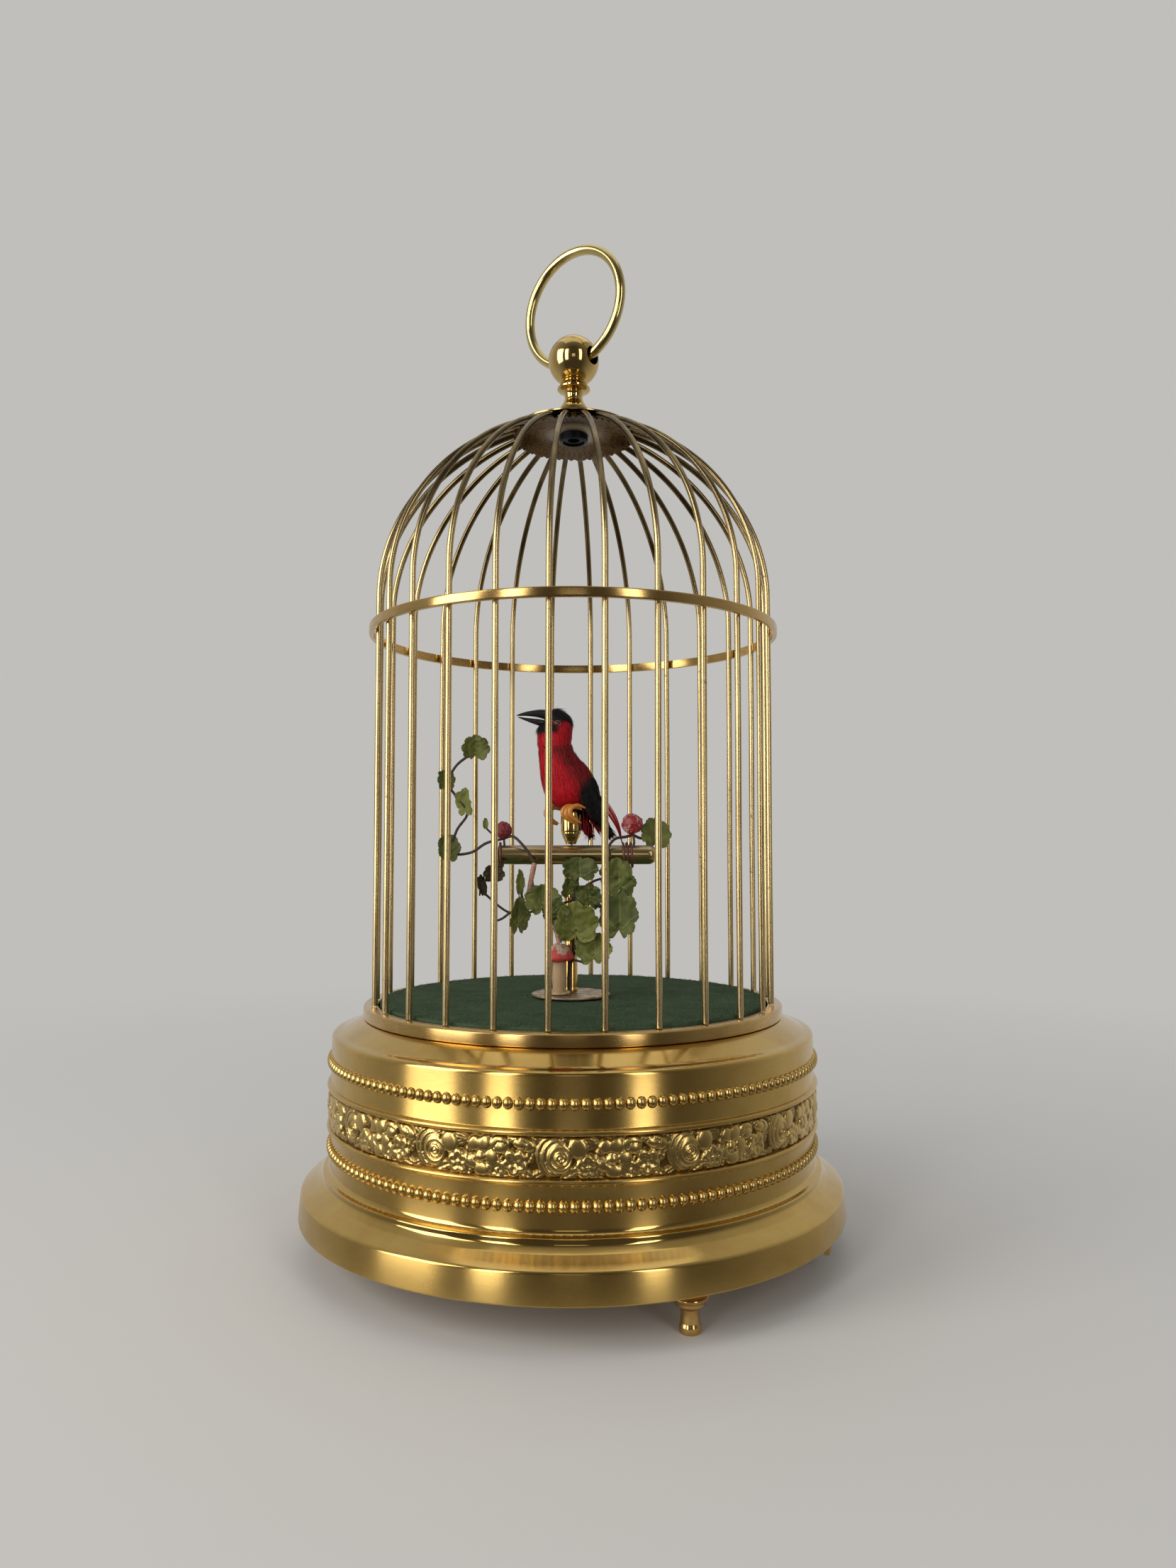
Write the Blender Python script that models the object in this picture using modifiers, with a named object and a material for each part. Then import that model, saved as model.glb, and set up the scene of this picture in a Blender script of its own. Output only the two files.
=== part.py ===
"""Singing bird automaton: a domed brass wire cage on a turned drum, with a feathered bird on a perch.

Metres, +Z up. The origin is on the cage's axis at the level of the table that the three feet stand on,
and the front of the cage faces -Y. The winding movement is inside the drum, and one rod through the
post turns the bird's head.
"""
import math

import bmesh
import bpy
from mathutils import Matrix, Vector

MM = 0.001
GAP = 0.3 * MM

# Rim and drum, from the table up
RIM_CLEARANCE = 10.9 * MM
RIM_REACH = 8.5 * MM
RIM_HEIGHT = 7.3 * MM
FLANGE_RISE = 6.5 * MM
DRUM_HEIGHT = 35.1 * MM
SHOULDER_RISE = 4.6 * MM
SHOULDER_REACH = 8.5 * MM
SHEET_WALL = 0.9 * MM
BEAD_PROUD = 1.2 * MM
BEAD_WIDTH = 3.2 * MM
FILLET_PROUD = 1.2 * MM
FILLET_WIDTH = 1.4 * MM
RELIEF_PROUD = 0.6 * MM
LOW_BEAD_UP = 3.7 * MM
LOW_FILLET_UP = 10.2 * MM
HIGH_FILLET_UP = 21.4 * MM
HIGH_BEAD_UP = 27.0 * MM
LEDGE_LAP = 4.05 * MM

# Bottom plate, feet, key and stop lever
PLATE_RECESS = 1.1 * MM
BOTTOM_THICKNESS = 1.2 * MM
FOOT_INSET = 7.8 * MM
FOOT_TURN = -66.2
FOOT_RADIUS = 4.45 * MM
FOOT_PAD_RADIUS = 2.7 * MM
FOOT_STUD_RADIUS = 1.2 * MM
FOOT_STUD_LENGTH = 4.0 * MM
KEY_WIDTH = 17.2 * MM
KEY_HEIGHT = 8.6 * MM
KEY_THICKNESS = 2.2 * MM
KEY_SHAFT_RADIUS = 2.0 * MM
KEY_CLEARANCE = 1.4 * MM
LEVER_TURN = -21.0
LEVER_PIVOT_INSET = 18.0 * MM
LEVER_TAB_INSET = 3.5 * MM
LEVER_WIDTH = 5.0 * MM
LEVER_THICKNESS = 1.4 * MM
LEVER_TAB_WIDTH = 3.5 * MM
LEVER_TAB_DROP = 6.0 * MM
LEVER_PIN_RADIUS = 1.0 * MM
LEVER_PIN_PROUD = 1.6 * MM

# Cage
RING_WIDTH = 4.15 * MM
RING_HEIGHT = 3.2 * MM
STAGE_THICKNESS = 2.3 * MM
FELT_THICKNESS = 1.4 * MM
WIRE_COUNT = 26
WIRE_TURN = 8.52
WIRE_RADIUS = 0.85 * MM
WIRE_CIRCLE = 57.5 * MM
CAGE_WALL_HEIGHT = 117.0 * MM
DOME_RISE = 54.9 * MM
DOME_FULLNESS = 1.9
WIRE_END_CIRCLE = 8.5 * MM
BAND_UP = 105.8 * MM
BAND_HEIGHT = 2.6 * MM
BAND_WALL = 1.3 * MM
CAP_RADIUS = 18.0 * MM
CAP_WALL = 0.5 * MM
DISH_RADIUS = 18.2 * MM
DISH_DROP = 2.5 * MM
HUB_RADIUS = 4.3 * MM
HUB_LENGTH = 4.4 * MM

# Finial and carrying ring
STUD_RADIUS = 1.5 * MM
FINIAL_FOOT_RADIUS = 4.6 * MM
FINIAL_WAIST_RADIUS = 2.5 * MM
FINIAL_COLLAR_RADIUS = 4.95 * MM
FINIAL_STEM = 10.45 * MM
BALL_RADIUS = 7.7 * MM
RING_WIRE_RADIUS = 1.5 * MM
RING_CENTRELINE = 17.5 * MM
RING_TURN = -37.4
RING_PLAY = 0.9 * MM

# Post, perch and bird socket
POST_X = -0.7 * MM
POST_RADIUS = 1.6 * MM
POST_HEIGHT = 37.0 * MM
POST_FLANGE_RADIUS = 11.5 * MM
POST_FLANGE_THICKNESS = 0.8 * MM
ROD_RADIUS = 0.5 * MM
ROD_CLEARANCE = 0.4 * MM
ROD_ARM_LENGTH = 11.0 * MM
ROD_ARM_THICKNESS = 1.6 * MM
ROD_END_INSET = 1.2 * MM
PERCH_RADIUS = 2.85 * MM
PERCH_LEFT = 21.6 * MM
PERCH_RIGHT = 25.7 * MM
SOCKET_RADIUS = 3.05 * MM
SOCKET_HEIGHT = 10.1 * MM

# Movement
FRAME_STANDOFF = 4.8 * MM
FRAME_PLATE = 2.0 * MM
FRAME_SPACE = 24.0 * MM
FRAME_CLEARANCE = 3.26 * MM
FRAME_HALF_DEPTH = 29.0 * MM
FRAME_TOP_RIGHT = 28.0 * MM
PILLAR_RADIUS = 2.5 * MM
PILLAR_INSET = 4.0 * MM
WHEEL_CLEARANCE = 1.0 * MM
PLATE_BACKLASH = 1.2 * MM
GEAR_MODULE = 1.55 * MM
TOOTH_SHARE = 0.34
TOOTH_TIP = 0.75
TOOTH_ROOT = 1.15
BARREL_TEETH = 30
CAM_PINION_TEETH = 10
CAM_WHEEL_TEETH = 24
FLY_PINION_TEETH = 8
CAM_TURN = 150.0
FLY_TURN = 240.0
WHEEL_THICKNESS = 2.4 * MM
BARREL_RIM = 1.47 * MM
BARREL_BODY_HEIGHT = 9.6 * MM
ARBOR_RADIUS = 2.5 * MM
ARBOR_PROUD = 1.0 * MM
SHAFT_RADIUS = 1.5 * MM
CAM_CLEARANCE = 3.0 * MM
CAM_COUNT = 3
CAM_THROW = 0.96 * MM
CAM_THICKNESS = 1.6 * MM
FLY_VANE_LENGTH = 8.0 * MM
FLY_VANE_HEIGHT = 8.0 * MM
FLY_VANE_THICKNESS = 1.0 * MM
BELLOWS_WIDTH = 22.0 * MM
BELLOWS_DEPTH = 30.0 * MM
BELLOWS_HEIGHT = 22.0 * MM
BELLOWS_FOLDS = 4
BELLOWS_PINCH = 0.86
WHISTLE_RADIUS = 4.5 * MM
WHISTLE_LENGTH = 30.0 * MM
WHISTLE_WALL = 1.35 * MM

# Bird, in its own frame: -X forward, heights above its seat on the socket
THINNEST = 0.1
BIRD_TURN = 35.0
HEAD_TURN = -24.0
BIRD_SPINE = [
    (-6.0, 19.6, 5.3), (-5.7, 15.2, 5.9), (-3.5, 10.2, 7.2),
    (0.0, 5.2, 7.4), (4.0, 1.6, 5.4), (6.6, -0.6, 3.2),
]
HEAD_FORWARD = 6.0 * MM
HEAD_SPINE = [(0.0, 20.0, 5.3), (0.3, 22.8, 5.2), (1.0, 26.0, 4.5), (1.2, 28.3, 3.2), (1.3, 29.6, 1.0)]
UPPER_BEAK = [(-1.4, 27.6, 1.5), (-5.0, 28.0, 1.2), (-8.5, 27.7, 0.6), (-11.2, 27.3, 0.2)]
LOWER_BEAK_ROOT = (-4.3, 25.6)
LOWER_BEAK_LENGTH = 6.3
LOWER_BEAK_RADIUS = 0.95
TAIL_ROOT = (6.9, -0.7)
TAIL_LENGTH = 13.0 * MM
TAIL_WIDTH = 4.6 * MM
TAIL_THICKNESS = 2.2 * MM
TAIL_SLOPE = 47.0
WING_SPREAD = 4.9 * MM
WING_SPINE = [(-2.5, 13.5, 2.4), (2.5, 9.0, 4.2), (8.0, 2.5, 3.8), (12.6, -5.5, 1.4), (13.8, -8.0, 0.4)]
WING_THINNESS = 0.42
LEG_SPREAD = 4.8 * MM
LEG_SPINE = [(-3.2, 3.6, 1.3), (-5.6, 0.8, 1.3), (-4.8, -2.2, 1.2), (-2.6, -3.8, 1.0)]

# Foliage in millimetres: a leaf is its centre, width, height, lean about X and turn about Z.
# The vine and the sprig count their heights from the perch's axis, the bunch from its foot on the flange.
LEAF_THICKNESS = 0.7 * MM
STEM_RADIUS = 0.45 * MM
VINE_PATH = [
    (-11.3, -3.9, -11.55), (-12.0, -3.9, -7.15), (-11.2, -4.0, -3.05), (-12.6, -4.0, -0.05),
    (-15.2, -3.7, 3.35), (-17.9, -1.6, 5.45), (-21.0, -0.2, 4.75), (-25.8, -0.8, 3.45),
    (-30.4, -1.0, 0.65), (-35.8, -1.0, 0.75), (-34.6, -1.0, 7.05), (-31.4, -1.0, 12.35),
    (-34.6, -1.2, 17.15), (-37.0, -1.4, 21.25), (-34.6, -1.4, 26.55), (-29.0, -1.2, 30.75),
]
VINE_LEAVES = [
    ((-29.0, -1.2, 31.65), 8.6, 8.0, 12.0, 10.0),
    ((-38.0, -1.4, 21.95), 6.2, 6.7, -10.0, 35.0),
    ((-31.7, -1.0, 15.35), 6.4, 9.1, 8.0, -35.0),
    ((-37.0, -1.0, 1.95), 6.9, 9.3, -8.0, 25.0),
]
LEFT_BERRY = (-20.8, 0.0, 7.25)
LEFT_BERRY_RADIUS = 2.5 * MM
BOUQUET_STEM = [
    (-1.3, -2.9, 0.0), (-1.1, -3.0, 6.9), (0.9, -3.4, 13.9), (1.6, -3.9, 20.9),
    (0.6, -4.2, 27.9), (1.6, -4.6, 35.4),
]
BOUQUET_LEAVES = [
    ((1.9, -4.9, 35.9), 10.7, 7.9, -14.0, 5.0),
    ((13.4, -4.4, 33.5), 9.6, 10.6, 16.0, -18.0),
    ((-8.9, -5.6, 27.0), 11.1, 9.6, -12.0, 14.0),
    ((4.8, -5.2, 28.0), 8.0, 7.6, 18.0, -20.0),
    ((13.5, -4.6, 22.5), 10.2, 14.0, -10.0, -12.0),
    ((0.6, -6.3, 20.5), 10.1, 10.4, 10.0, 6.0),
    ((6.2, -4.8, 12.7), 11.0, 10.2, -18.0, -8.0),
    ((-15.9, -4.6, 22.5), 6.6, 11.5, 8.0, 30.0),
    ((-15.6, -5.2, 31.9), 3.4, 8.8, 0.0, 50.0),
    ((-23.2, -5.0, 34.9), 6.1, 5.3, 14.0, 16.0),
    ((-26.9, -4.8, 31.1), 3.4, 6.5, -6.0, 45.0),
]
BOUQUET_TWIGS = [
    [(0.4, -4.1, 29.0), (7.0, -4.4, 32.9), (13.2, -4.5, 33.4)],
    [(1.0, -4.1, 27.6), (-4.0, -5.2, 25.9), (-8.8, -5.5, 26.9)],
    [(0.7, -4.0, 24.6), (4.6, -5.1, 27.9)],
    [(1.4, -3.8, 19.4), (8.0, -4.4, 20.9), (13.5, -4.6, 22.5)],
    [(1.5, -3.7, 17.9), (0.6, -6.3, 20.5)],
    [(0.7, -3.3, 12.9), (6.2, -4.8, 12.7)],
    [
        (-8.4, -5.5, 27.4), (-12.5, -5.0, 23.5), (-18.6, -4.6, 23.4),
        (-24.5, -4.8, 27.8), (-26.8, -4.8, 30.9), (-23.3, -5.0, 35.0),
    ],
    [(-12.8, -4.9, 23.2), (-14.8, -5.2, 27.9), (-15.6, -5.2, 32.0)],
    [(-18.1, -4.7, 23.6), (-21.0, -4.6, 21.5), (-23.8, -4.6, 20.8)],
]
SPRIG_PATH = [
    (10.8, -4.1, -0.05), (10.4, -3.9, 2.35), (12.4, -2.4, 4.75), (15.6, -0.8, 5.35), (17.6, 0.0, 5.95),
]
SPRIG_STALK = [(17.6, 0.0, 5.95), (20.5, 2.2, 4.95), (24.4, 4.6, 6.35)]
SPRIG_LEAF = ((24.4, 4.6, 6.15), 9.5, 10.5, -8.0, 12.0)
RIGHT_BERRY = (17.5, 0.0, 9.15)
RIGHT_BERRY_RADIUS = 3.15 * MM
WRAP_TURNS = 2
WRAP_POINTS = 11
WRAP_PITCH = 1.3 * MM
WRAP_RADIUS = 0.4 * MM
LEFT_WRAP_X = -21.0 * MM
RIGHT_WRAP_X = 17.6 * MM
MUSHROOM_CAP_RIGHT = -0.3 * MM
MUSHROOM_FORWARD = 4.9 * MM
MUSHROOM_CAP_RADIUS = 3.7 * MM
MUSHROOM_STEM_RADIUS = 2.3 * MM
MUSHROOM_STEM_HEIGHT = 9.6 * MM
MUSHROOM_CAP_HEIGHT = 5.0 * MM

# Facets round a turned piece
ROUND_STEPS = 36
CAP_STEPS = 24
RING_POINTS = 26
SMALL_STEPS = 18

# Radii and levels that follow from the sizes
RING_BORE = WIRE_CIRCLE - WIRE_RADIUS - GAP
RING_RADIUS = RING_BORE + RING_WIDTH
STAGE_RADIUS = RING_BORE - GAP
DRUM_RADIUS = RING_RADIUS + SHOULDER_REACH
RIM_RADIUS = DRUM_RADIUS + RIM_REACH
RIM_TOP = RIM_CLEARANCE + RIM_HEIGHT
DRUM_FOOT = RIM_TOP + FLANGE_RISE
DRUM_TOP = DRUM_FOOT + DRUM_HEIGHT
LEDGE = DRUM_TOP + SHOULDER_RISE
PLATE_UNDER = RIM_CLEARANCE + PLATE_RECESS
PLATE_TOP = PLATE_UNDER + BOTTOM_THICKNESS
PLATE_RADIUS = RIM_RADIUS - SHEET_WALL - GAP
FOOT_CIRCLE = RIM_RADIUS - FOOT_INSET
RING_UNDER = LEDGE + GAP
RING_TOP = RING_UNDER + RING_HEIGHT
STAGE_TOP = RING_UNDER + STAGE_THICKNESS
FELT_UNDER = STAGE_TOP + GAP
FELT_TOP = FELT_UNDER + FELT_THICKNESS
WIRE_FOOT = RING_TOP + GAP
SPRINGING = WIRE_FOOT + CAGE_WALL_HEIGHT
BAND_UNDER = WIRE_FOOT + BAND_UP
ROD_BORE = ROD_RADIUS + ROD_CLEARANCE
FLANGE_UNDER = FELT_TOP + GAP
FLANGE_TOP = FLANGE_UNDER + POST_FLANGE_THICKNESS
POST_FOOT = FLANGE_TOP + GAP
PERCH_LEVEL = POST_FOOT + POST_HEIGHT + GAP + PERCH_RADIUS
SOCKET_FOOT = PERCH_LEVEL + PERCH_RADIUS + GAP
BIRD_SEAT = SOCKET_FOOT + SOCKET_HEIGHT + GAP
FRAME_UNDER = PLATE_TOP + FRAME_STANDOFF
FRAME_FLOOR = FRAME_UNDER + FRAME_PLATE
FRAME_CEILING = FRAME_FLOOR + FRAME_SPACE
FRAME_TOP = FRAME_CEILING + FRAME_PLATE
FRAME_REACH = DRUM_RADIUS - SHEET_WALL - FRAME_CLEARANCE
FRAME_RIGHT = math.sqrt(FRAME_REACH ** 2 - FRAME_HALF_DEPTH ** 2)


def clear_scene():
    for obj in list(bpy.data.objects):
        bpy.data.objects.remove(obj, do_unlink=True)


def new_collection(name):
    collection = bpy.data.collections.new(name)
    bpy.context.scene.collection.children.link(collection)
    return collection


def finish(name, colour, metallic, roughness):
    """A Principled BSDF material for one piece."""
    material = bpy.data.materials.new(name)
    material.use_nodes = True
    shader = material.node_tree.nodes["Principled BSDF"]
    shader.inputs["Base Color"].default_value = (*colour, 1.0)
    shader.inputs["Metallic"].default_value = metallic
    shader.inputs["Roughness"].default_value = roughness
    return material


def brass(name):
    return finish(name, (0.70, 0.49, 0.17), 1.0, 0.28)


def steel(name):
    return finish(name, (0.52, 0.53, 0.55), 1.0, 0.35)


def leaf_green(name):
    return finish(name, (0.16, 0.24, 0.08), 0.0, 0.75)


def place(obj, material, smooth=True):
    """Link a finished piece into the cage's collection, with its material and its shading."""
    PIECES.objects.link(obj)
    if material:
        obj.data.materials.clear()
        obj.data.materials.append(material)
    if smooth and obj.type == "MESH":
        obj.data.shade_smooth()
        obj.data.set_sharp_from_angle(angle=math.radians(40))
    return obj


def as_guide(obj):
    """A shape that only cuts or joins another."""
    GUIDES.objects.link(obj)
    obj.hide_render = True
    obj.display_type = "WIRE"
    return obj


def mesh_object(name, mesh_maker):
    """An object whose mesh a function draws into an empty bmesh."""
    mesh = bpy.data.meshes.new(name)
    shape = bmesh.new()
    mesh_maker(shape)
    shape.to_mesh(mesh)
    shape.free()
    return bpy.data.objects.new(name, mesh)


def settled(obj, keep_name=None):
    """A plain mesh copy of an object, its modifiers and transform applied, in the object's place."""
    if not obj.users_collection:
        GUIDES.objects.link(obj)
    bpy.context.view_layer.update()
    graph = bpy.context.evaluated_depsgraph_get()
    mesh = bpy.data.meshes.new_from_object(obj.evaluated_get(graph))
    mesh.transform(obj.matrix_world)
    shape = bmesh.new()
    shape.from_mesh(mesh)
    bmesh.ops.remove_doubles(shape, verts=shape.verts, dist=0.000001)
    shape.to_mesh(mesh)
    shape.free()
    name = keep_name or obj.name
    bpy.data.objects.remove(obj, do_unlink=True)
    copy = bpy.data.objects.new(name, mesh)
    copy.name = name
    return copy


def turned(name, profile, steps=ROUND_STEPS, closed=False):
    """A turned solid. Its profile runs down the outer side, from the axis or round a closed loop."""
    def draw(shape):
        points = [shape.verts.new((radius, 0.0, height)) for radius, height in profile]
        pairs = list(zip(points, points[1:]))
        if closed:
            pairs.append((points[-1], points[0]))
        for first, second in pairs:
            shape.edges.new((first, second))
    obj = mesh_object(name, draw)
    screw = obj.modifiers.new("turning", "SCREW")
    screw.axis = "Z"
    screw.steps = steps
    screw.render_steps = steps
    screw.use_merge_vertices = True
    screw.merge_threshold = 0.00001
    screw.use_smooth_shade = True
    return obj


def rod(name, radius, low, high, steps=SMALL_STEPS):
    """A plain round bar on the Z axis."""
    return turned(name, [(0.0, high), (radius, high), (radius, low), (0.0, low)], steps)


def block(name, low, high):
    """A box from its lowest to its highest corner."""
    size = Vector(high) - Vector(low)
    centre = (Vector(high) + Vector(low)) / 2

    def draw(shape):
        bmesh.ops.create_cube(
            shape, size=1.0, matrix=Matrix.Translation(centre) @ Matrix.Diagonal((*size, 1.0)))
    return mesh_object(name, draw)


def tube(name, points, radius, radii=None, resolution=2, closed=False):
    """A round bar along points: a bevelled poly curve with filled ends."""
    curve = bpy.data.curves.new(name, "CURVE")
    curve.dimensions = "3D"
    curve.bevel_depth = radius
    curve.bevel_resolution = resolution
    curve.render_resolution_u = 0
    curve.use_fill_caps = not closed
    spline = curve.splines.new("POLY")
    spline.points.add(len(points) - 1)
    for index, point in enumerate(points):
        spline.points[index].co = (*point, 1.0)
        spline.points[index].radius = radii[index] if radii else 1.0
    spline.use_cyclic_u = closed
    return bpy.data.objects.new(name, curve)


def spline_value(before, start, end, after, t):
    """One coordinate at t between start and end on a curve through four values."""
    return 0.5 * (
        2 * start + (end - before) * t
        + (2 * before - 5 * start + 4 * end - after) * t ** 2
        + (3 * start - before - 3 * end + after) * t ** 3)


def smooth_path(points, per_span):
    """Points read from a smooth curve through a hand-drawn route."""
    first = [2 * a - b for a, b in zip(points[0], points[1])]
    last = [2 * a - b for a, b in zip(points[-1], points[-2])]
    route = [first, *points, last]
    path = []
    for index in range(1, len(route) - 2):
        before, start, end, after = route[index - 1:index + 3]
        for step in range(per_span):
            path.append(tuple(
                spline_value(*values, step / per_span) for values in zip(before, start, end, after)))
    path.append(tuple(points[-1]))
    return path


def raised_points(points, level):
    """Points in millimetres that count their heights from a level, as points in metres."""
    return [(x * MM, y * MM, level + z * MM) for x, y, z in points]


def combined(name, base, others, operation):
    """One solid from a base and others, cut or joined by Boolean modifiers that are then applied."""
    body = settled(base, name)
    GUIDES.objects.link(body)
    helpers = []
    for index, other in enumerate(others):
        helper = as_guide(settled(other, f"{name}_{operation.lower()}_{index}"))
        helpers.append(helper)
        boolean = body.modifiers.new(operation.lower(), "BOOLEAN")
        boolean.operation = operation
        boolean.solver = "EXACT"
        boolean.object = helper
    result = settled(body, name)
    for helper in helpers:
        bpy.data.objects.remove(helper, do_unlink=True)
    return result


def cut(name, base, cutters):
    return combined(name, base, cutters, "DIFFERENCE")


def joined(name, base, others):
    return combined(name, base, others, "UNION")


def moved(obj, x=0.0, y=0.0, z=0.0):
    obj.location = (x, y, z)
    return obj


def on_circle(radius, degrees):
    angle = math.radians(degrees)
    return radius * math.cos(angle), radius * math.sin(angle)


def set_origin(obj, point):
    """Put an object's origin on its joint's axis without moving its solid."""
    obj.data.transform(Matrix.Translation(-Vector(point)))
    obj.location = point
    return obj


def ring_profile(inner, outer, low, high):
    return [(inner, high), (outer, high), (outer, low), (inner, low)]


def make_base_drum():
    """The spun and embossed drum with its rim, in one sheet with a ledge for the cage and the stage."""
    r = DRUM_RADIUS

    def band(up, width, proud):
        low = DRUM_FOOT + up
        flat = width / 4
        return [(r, low + width), (r + proud, low + width - flat), (r + proud, low + flat), (r, low)]

    relief_low = DRUM_FOOT + LOW_FILLET_UP + FILLET_WIDTH
    relief_high = DRUM_FOOT + HIGH_FILLET_UP
    outer = [
        (STAGE_RADIUS - LEDGE_LAP, LEDGE),
        (RING_RADIUS, LEDGE),
        (r - 3.0 * MM, DRUM_TOP + 1.2 * MM),
        (r, DRUM_TOP),
        *band(HIGH_BEAD_UP, BEAD_WIDTH, BEAD_PROUD),
        *band(HIGH_FILLET_UP, FILLET_WIDTH, FILLET_PROUD)[:3],
        (r + RELIEF_PROUD, relief_high),
        (r + RELIEF_PROUD, relief_low),
        *band(LOW_FILLET_UP, FILLET_WIDTH, FILLET_PROUD)[1:],
        *band(LOW_BEAD_UP, BEAD_WIDTH, BEAD_PROUD),
        (r, DRUM_FOOT),
        (r + 2.0 * MM, DRUM_FOOT - 1.2 * MM),
        (r + 2.0 * MM, DRUM_FOOT - 2.5 * MM),
        (r + 3.5 * MM, RIM_TOP + 2.5 * MM),
        (RIM_RADIUS - 0.2 * MM, RIM_TOP),
        (RIM_RADIUS, RIM_CLEARANCE),
    ]
    seat = PLATE_TOP + GAP
    inner = [
        (RIM_RADIUS - SHEET_WALL, RIM_CLEARANCE),
        (RIM_RADIUS - SHEET_WALL, seat),
        (RIM_RADIUS - 2 * SHEET_WALL, seat),
        (RIM_RADIUS - 2 * SHEET_WALL, RIM_TOP - SHEET_WALL / 4),
        (r + 3.5 * MM - SHEET_WALL / 2, RIM_TOP + 2.5 * MM - SHEET_WALL),
        (r + 2.0 * MM - SHEET_WALL, DRUM_FOOT - 2.5 * MM - SHEET_WALL / 2),
        (r - SHEET_WALL, DRUM_FOOT - SHEET_WALL / 2),
        (r - SHEET_WALL, DRUM_TOP - SHEET_WALL),
        (RING_RADIUS - SHEET_WALL / 2, LEDGE - SHEET_WALL),
        (STAGE_RADIUS - LEDGE_LAP, LEDGE - SHEET_WALL),
    ]
    place(turned("base_drum", outer + inner, closed=True), brass("drum_brass"))


def make_bottom_plate():
    """The flat plate that closes the drum, with holes for the feet, the key and the stop lever's pin."""
    holes = [rod("key_hole", KEY_SHAFT_RADIUS + GAP, 0.0, DRUM_TOP)]
    for index in range(3):
        x, y = on_circle(FOOT_CIRCLE, FOOT_TURN + 120.0 * index)
        holes.append(moved(rod("stud_hole", FOOT_STUD_RADIUS + GAP, 0.0, DRUM_TOP, 12), x, y))
    x, y = on_circle(RIM_RADIUS - LEVER_PIVOT_INSET, LEVER_TURN)
    holes.append(moved(rod("pin_hole", LEVER_PIN_RADIUS + GAP, 0.0, DRUM_TOP, 12), x, y))
    plate = cut("bottom_plate", rod("plate", PLATE_RADIUS, PLATE_UNDER, PLATE_TOP, ROUND_STEPS), holes)
    place(plate, brass("plate_brass"))


def make_feet():
    """Three turned feet, each with a stud through the bottom plate."""
    top = PLATE_UNDER - GAP
    stud_top = PLATE_UNDER + FOOT_STUD_LENGTH
    profile = [
        (0.0, stud_top), (FOOT_STUD_RADIUS, stud_top), (FOOT_STUD_RADIUS, top), (FOOT_RADIUS * 0.75, top),
        (FOOT_RADIUS * 0.8, top * 0.88), (FOOT_RADIUS, top * 0.72), (FOOT_RADIUS * 0.82, top * 0.56),
        (FOOT_PAD_RADIUS * 0.75, top * 0.36), (FOOT_PAD_RADIUS, top * 0.18), (FOOT_PAD_RADIUS, 0.0),
        (0.0, 0.0),
    ]
    for index in range(3):
        x, y = on_circle(FOOT_CIRCLE, FOOT_TURN + 120.0 * index)
        foot = turned(f"foot_{index + 1}", profile, 12)
        place(moved(foot, x, y), brass("foot_brass"))


def make_winding_key():
    """The wing key under the drum, on the barrel's axis."""
    wing_top = PLATE_UNDER - KEY_CLEARANCE
    shaft_foot = wing_top - KEY_HEIGHT / 3
    shaft = rod("shaft", KEY_SHAFT_RADIUS, shaft_foot, FRAME_UNDER - ARBOR_PROUD - GAP, 16)
    wing = block(
        "wing", (-KEY_WIDTH / 2, -KEY_THICKNESS / 2, wing_top - KEY_HEIGHT),
        (KEY_WIDTH / 2, KEY_THICKNESS / 2, wing_top))
    edge = wing.modifiers.new("rounded", "BEVEL")
    edge.width = KEY_THICKNESS * 0.4
    edge.segments = 2
    place(joined("winding_key", wing, [shaft]), brass("key_brass"))


def make_stop_lever():
    """The start and stop lever: a flat arm on a pin under the bottom plate, its tab bent down by the rim."""
    top = PLATE_UNDER - GAP
    pivot = RIM_RADIUS - LEVER_PIVOT_INSET
    tab = RIM_RADIUS - LEVER_TAB_INSET
    half = LEVER_WIDTH / 2
    arm = block("arm", (pivot - half, -half, top - LEVER_THICKNESS), (tab, half, top))
    tab_half = LEVER_TAB_WIDTH / 2
    tab_piece = block(
        "tab", (tab - LEVER_THICKNESS, -tab_half, top - LEVER_THICKNESS - LEVER_TAB_DROP),
        (tab, tab_half, top))
    pin_top = PLATE_TOP + LEVER_PIN_PROUD
    pin = moved(rod("pin", LEVER_PIN_RADIUS, top - LEVER_THICKNESS / 2, pin_top, 12), pivot)
    lever = joined("stop_lever", arm, [tab_piece, pin])
    lever.data.transform(Matrix.Rotation(math.radians(LEVER_TURN), 4, "Z"))
    x, y = on_circle(pivot, LEVER_TURN)
    place(set_origin(lever, (x, y, top)), brass("lever_brass"))


def make_stage():
    """The stage plate and the green felt on it, both bored for the rod."""
    def bore():
        return moved(rod("bore", ROD_BORE, 0.0, SPRINGING, 12), POST_X)
    plate = cut("stage_plate", rod("disc", STAGE_RADIUS, RING_UNDER, STAGE_TOP, ROUND_STEPS), [bore()])
    place(plate, finish("stage_fibreboard", (0.20, 0.15, 0.10), 0.0, 0.8))
    felt = cut("felt_floor", rod("disc", STAGE_RADIUS, FELT_UNDER, FELT_TOP, ROUND_STEPS), [bore()])
    place(felt, finish("green_felt", (0.035, 0.10, 0.06), 0.0, 0.95))


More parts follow.
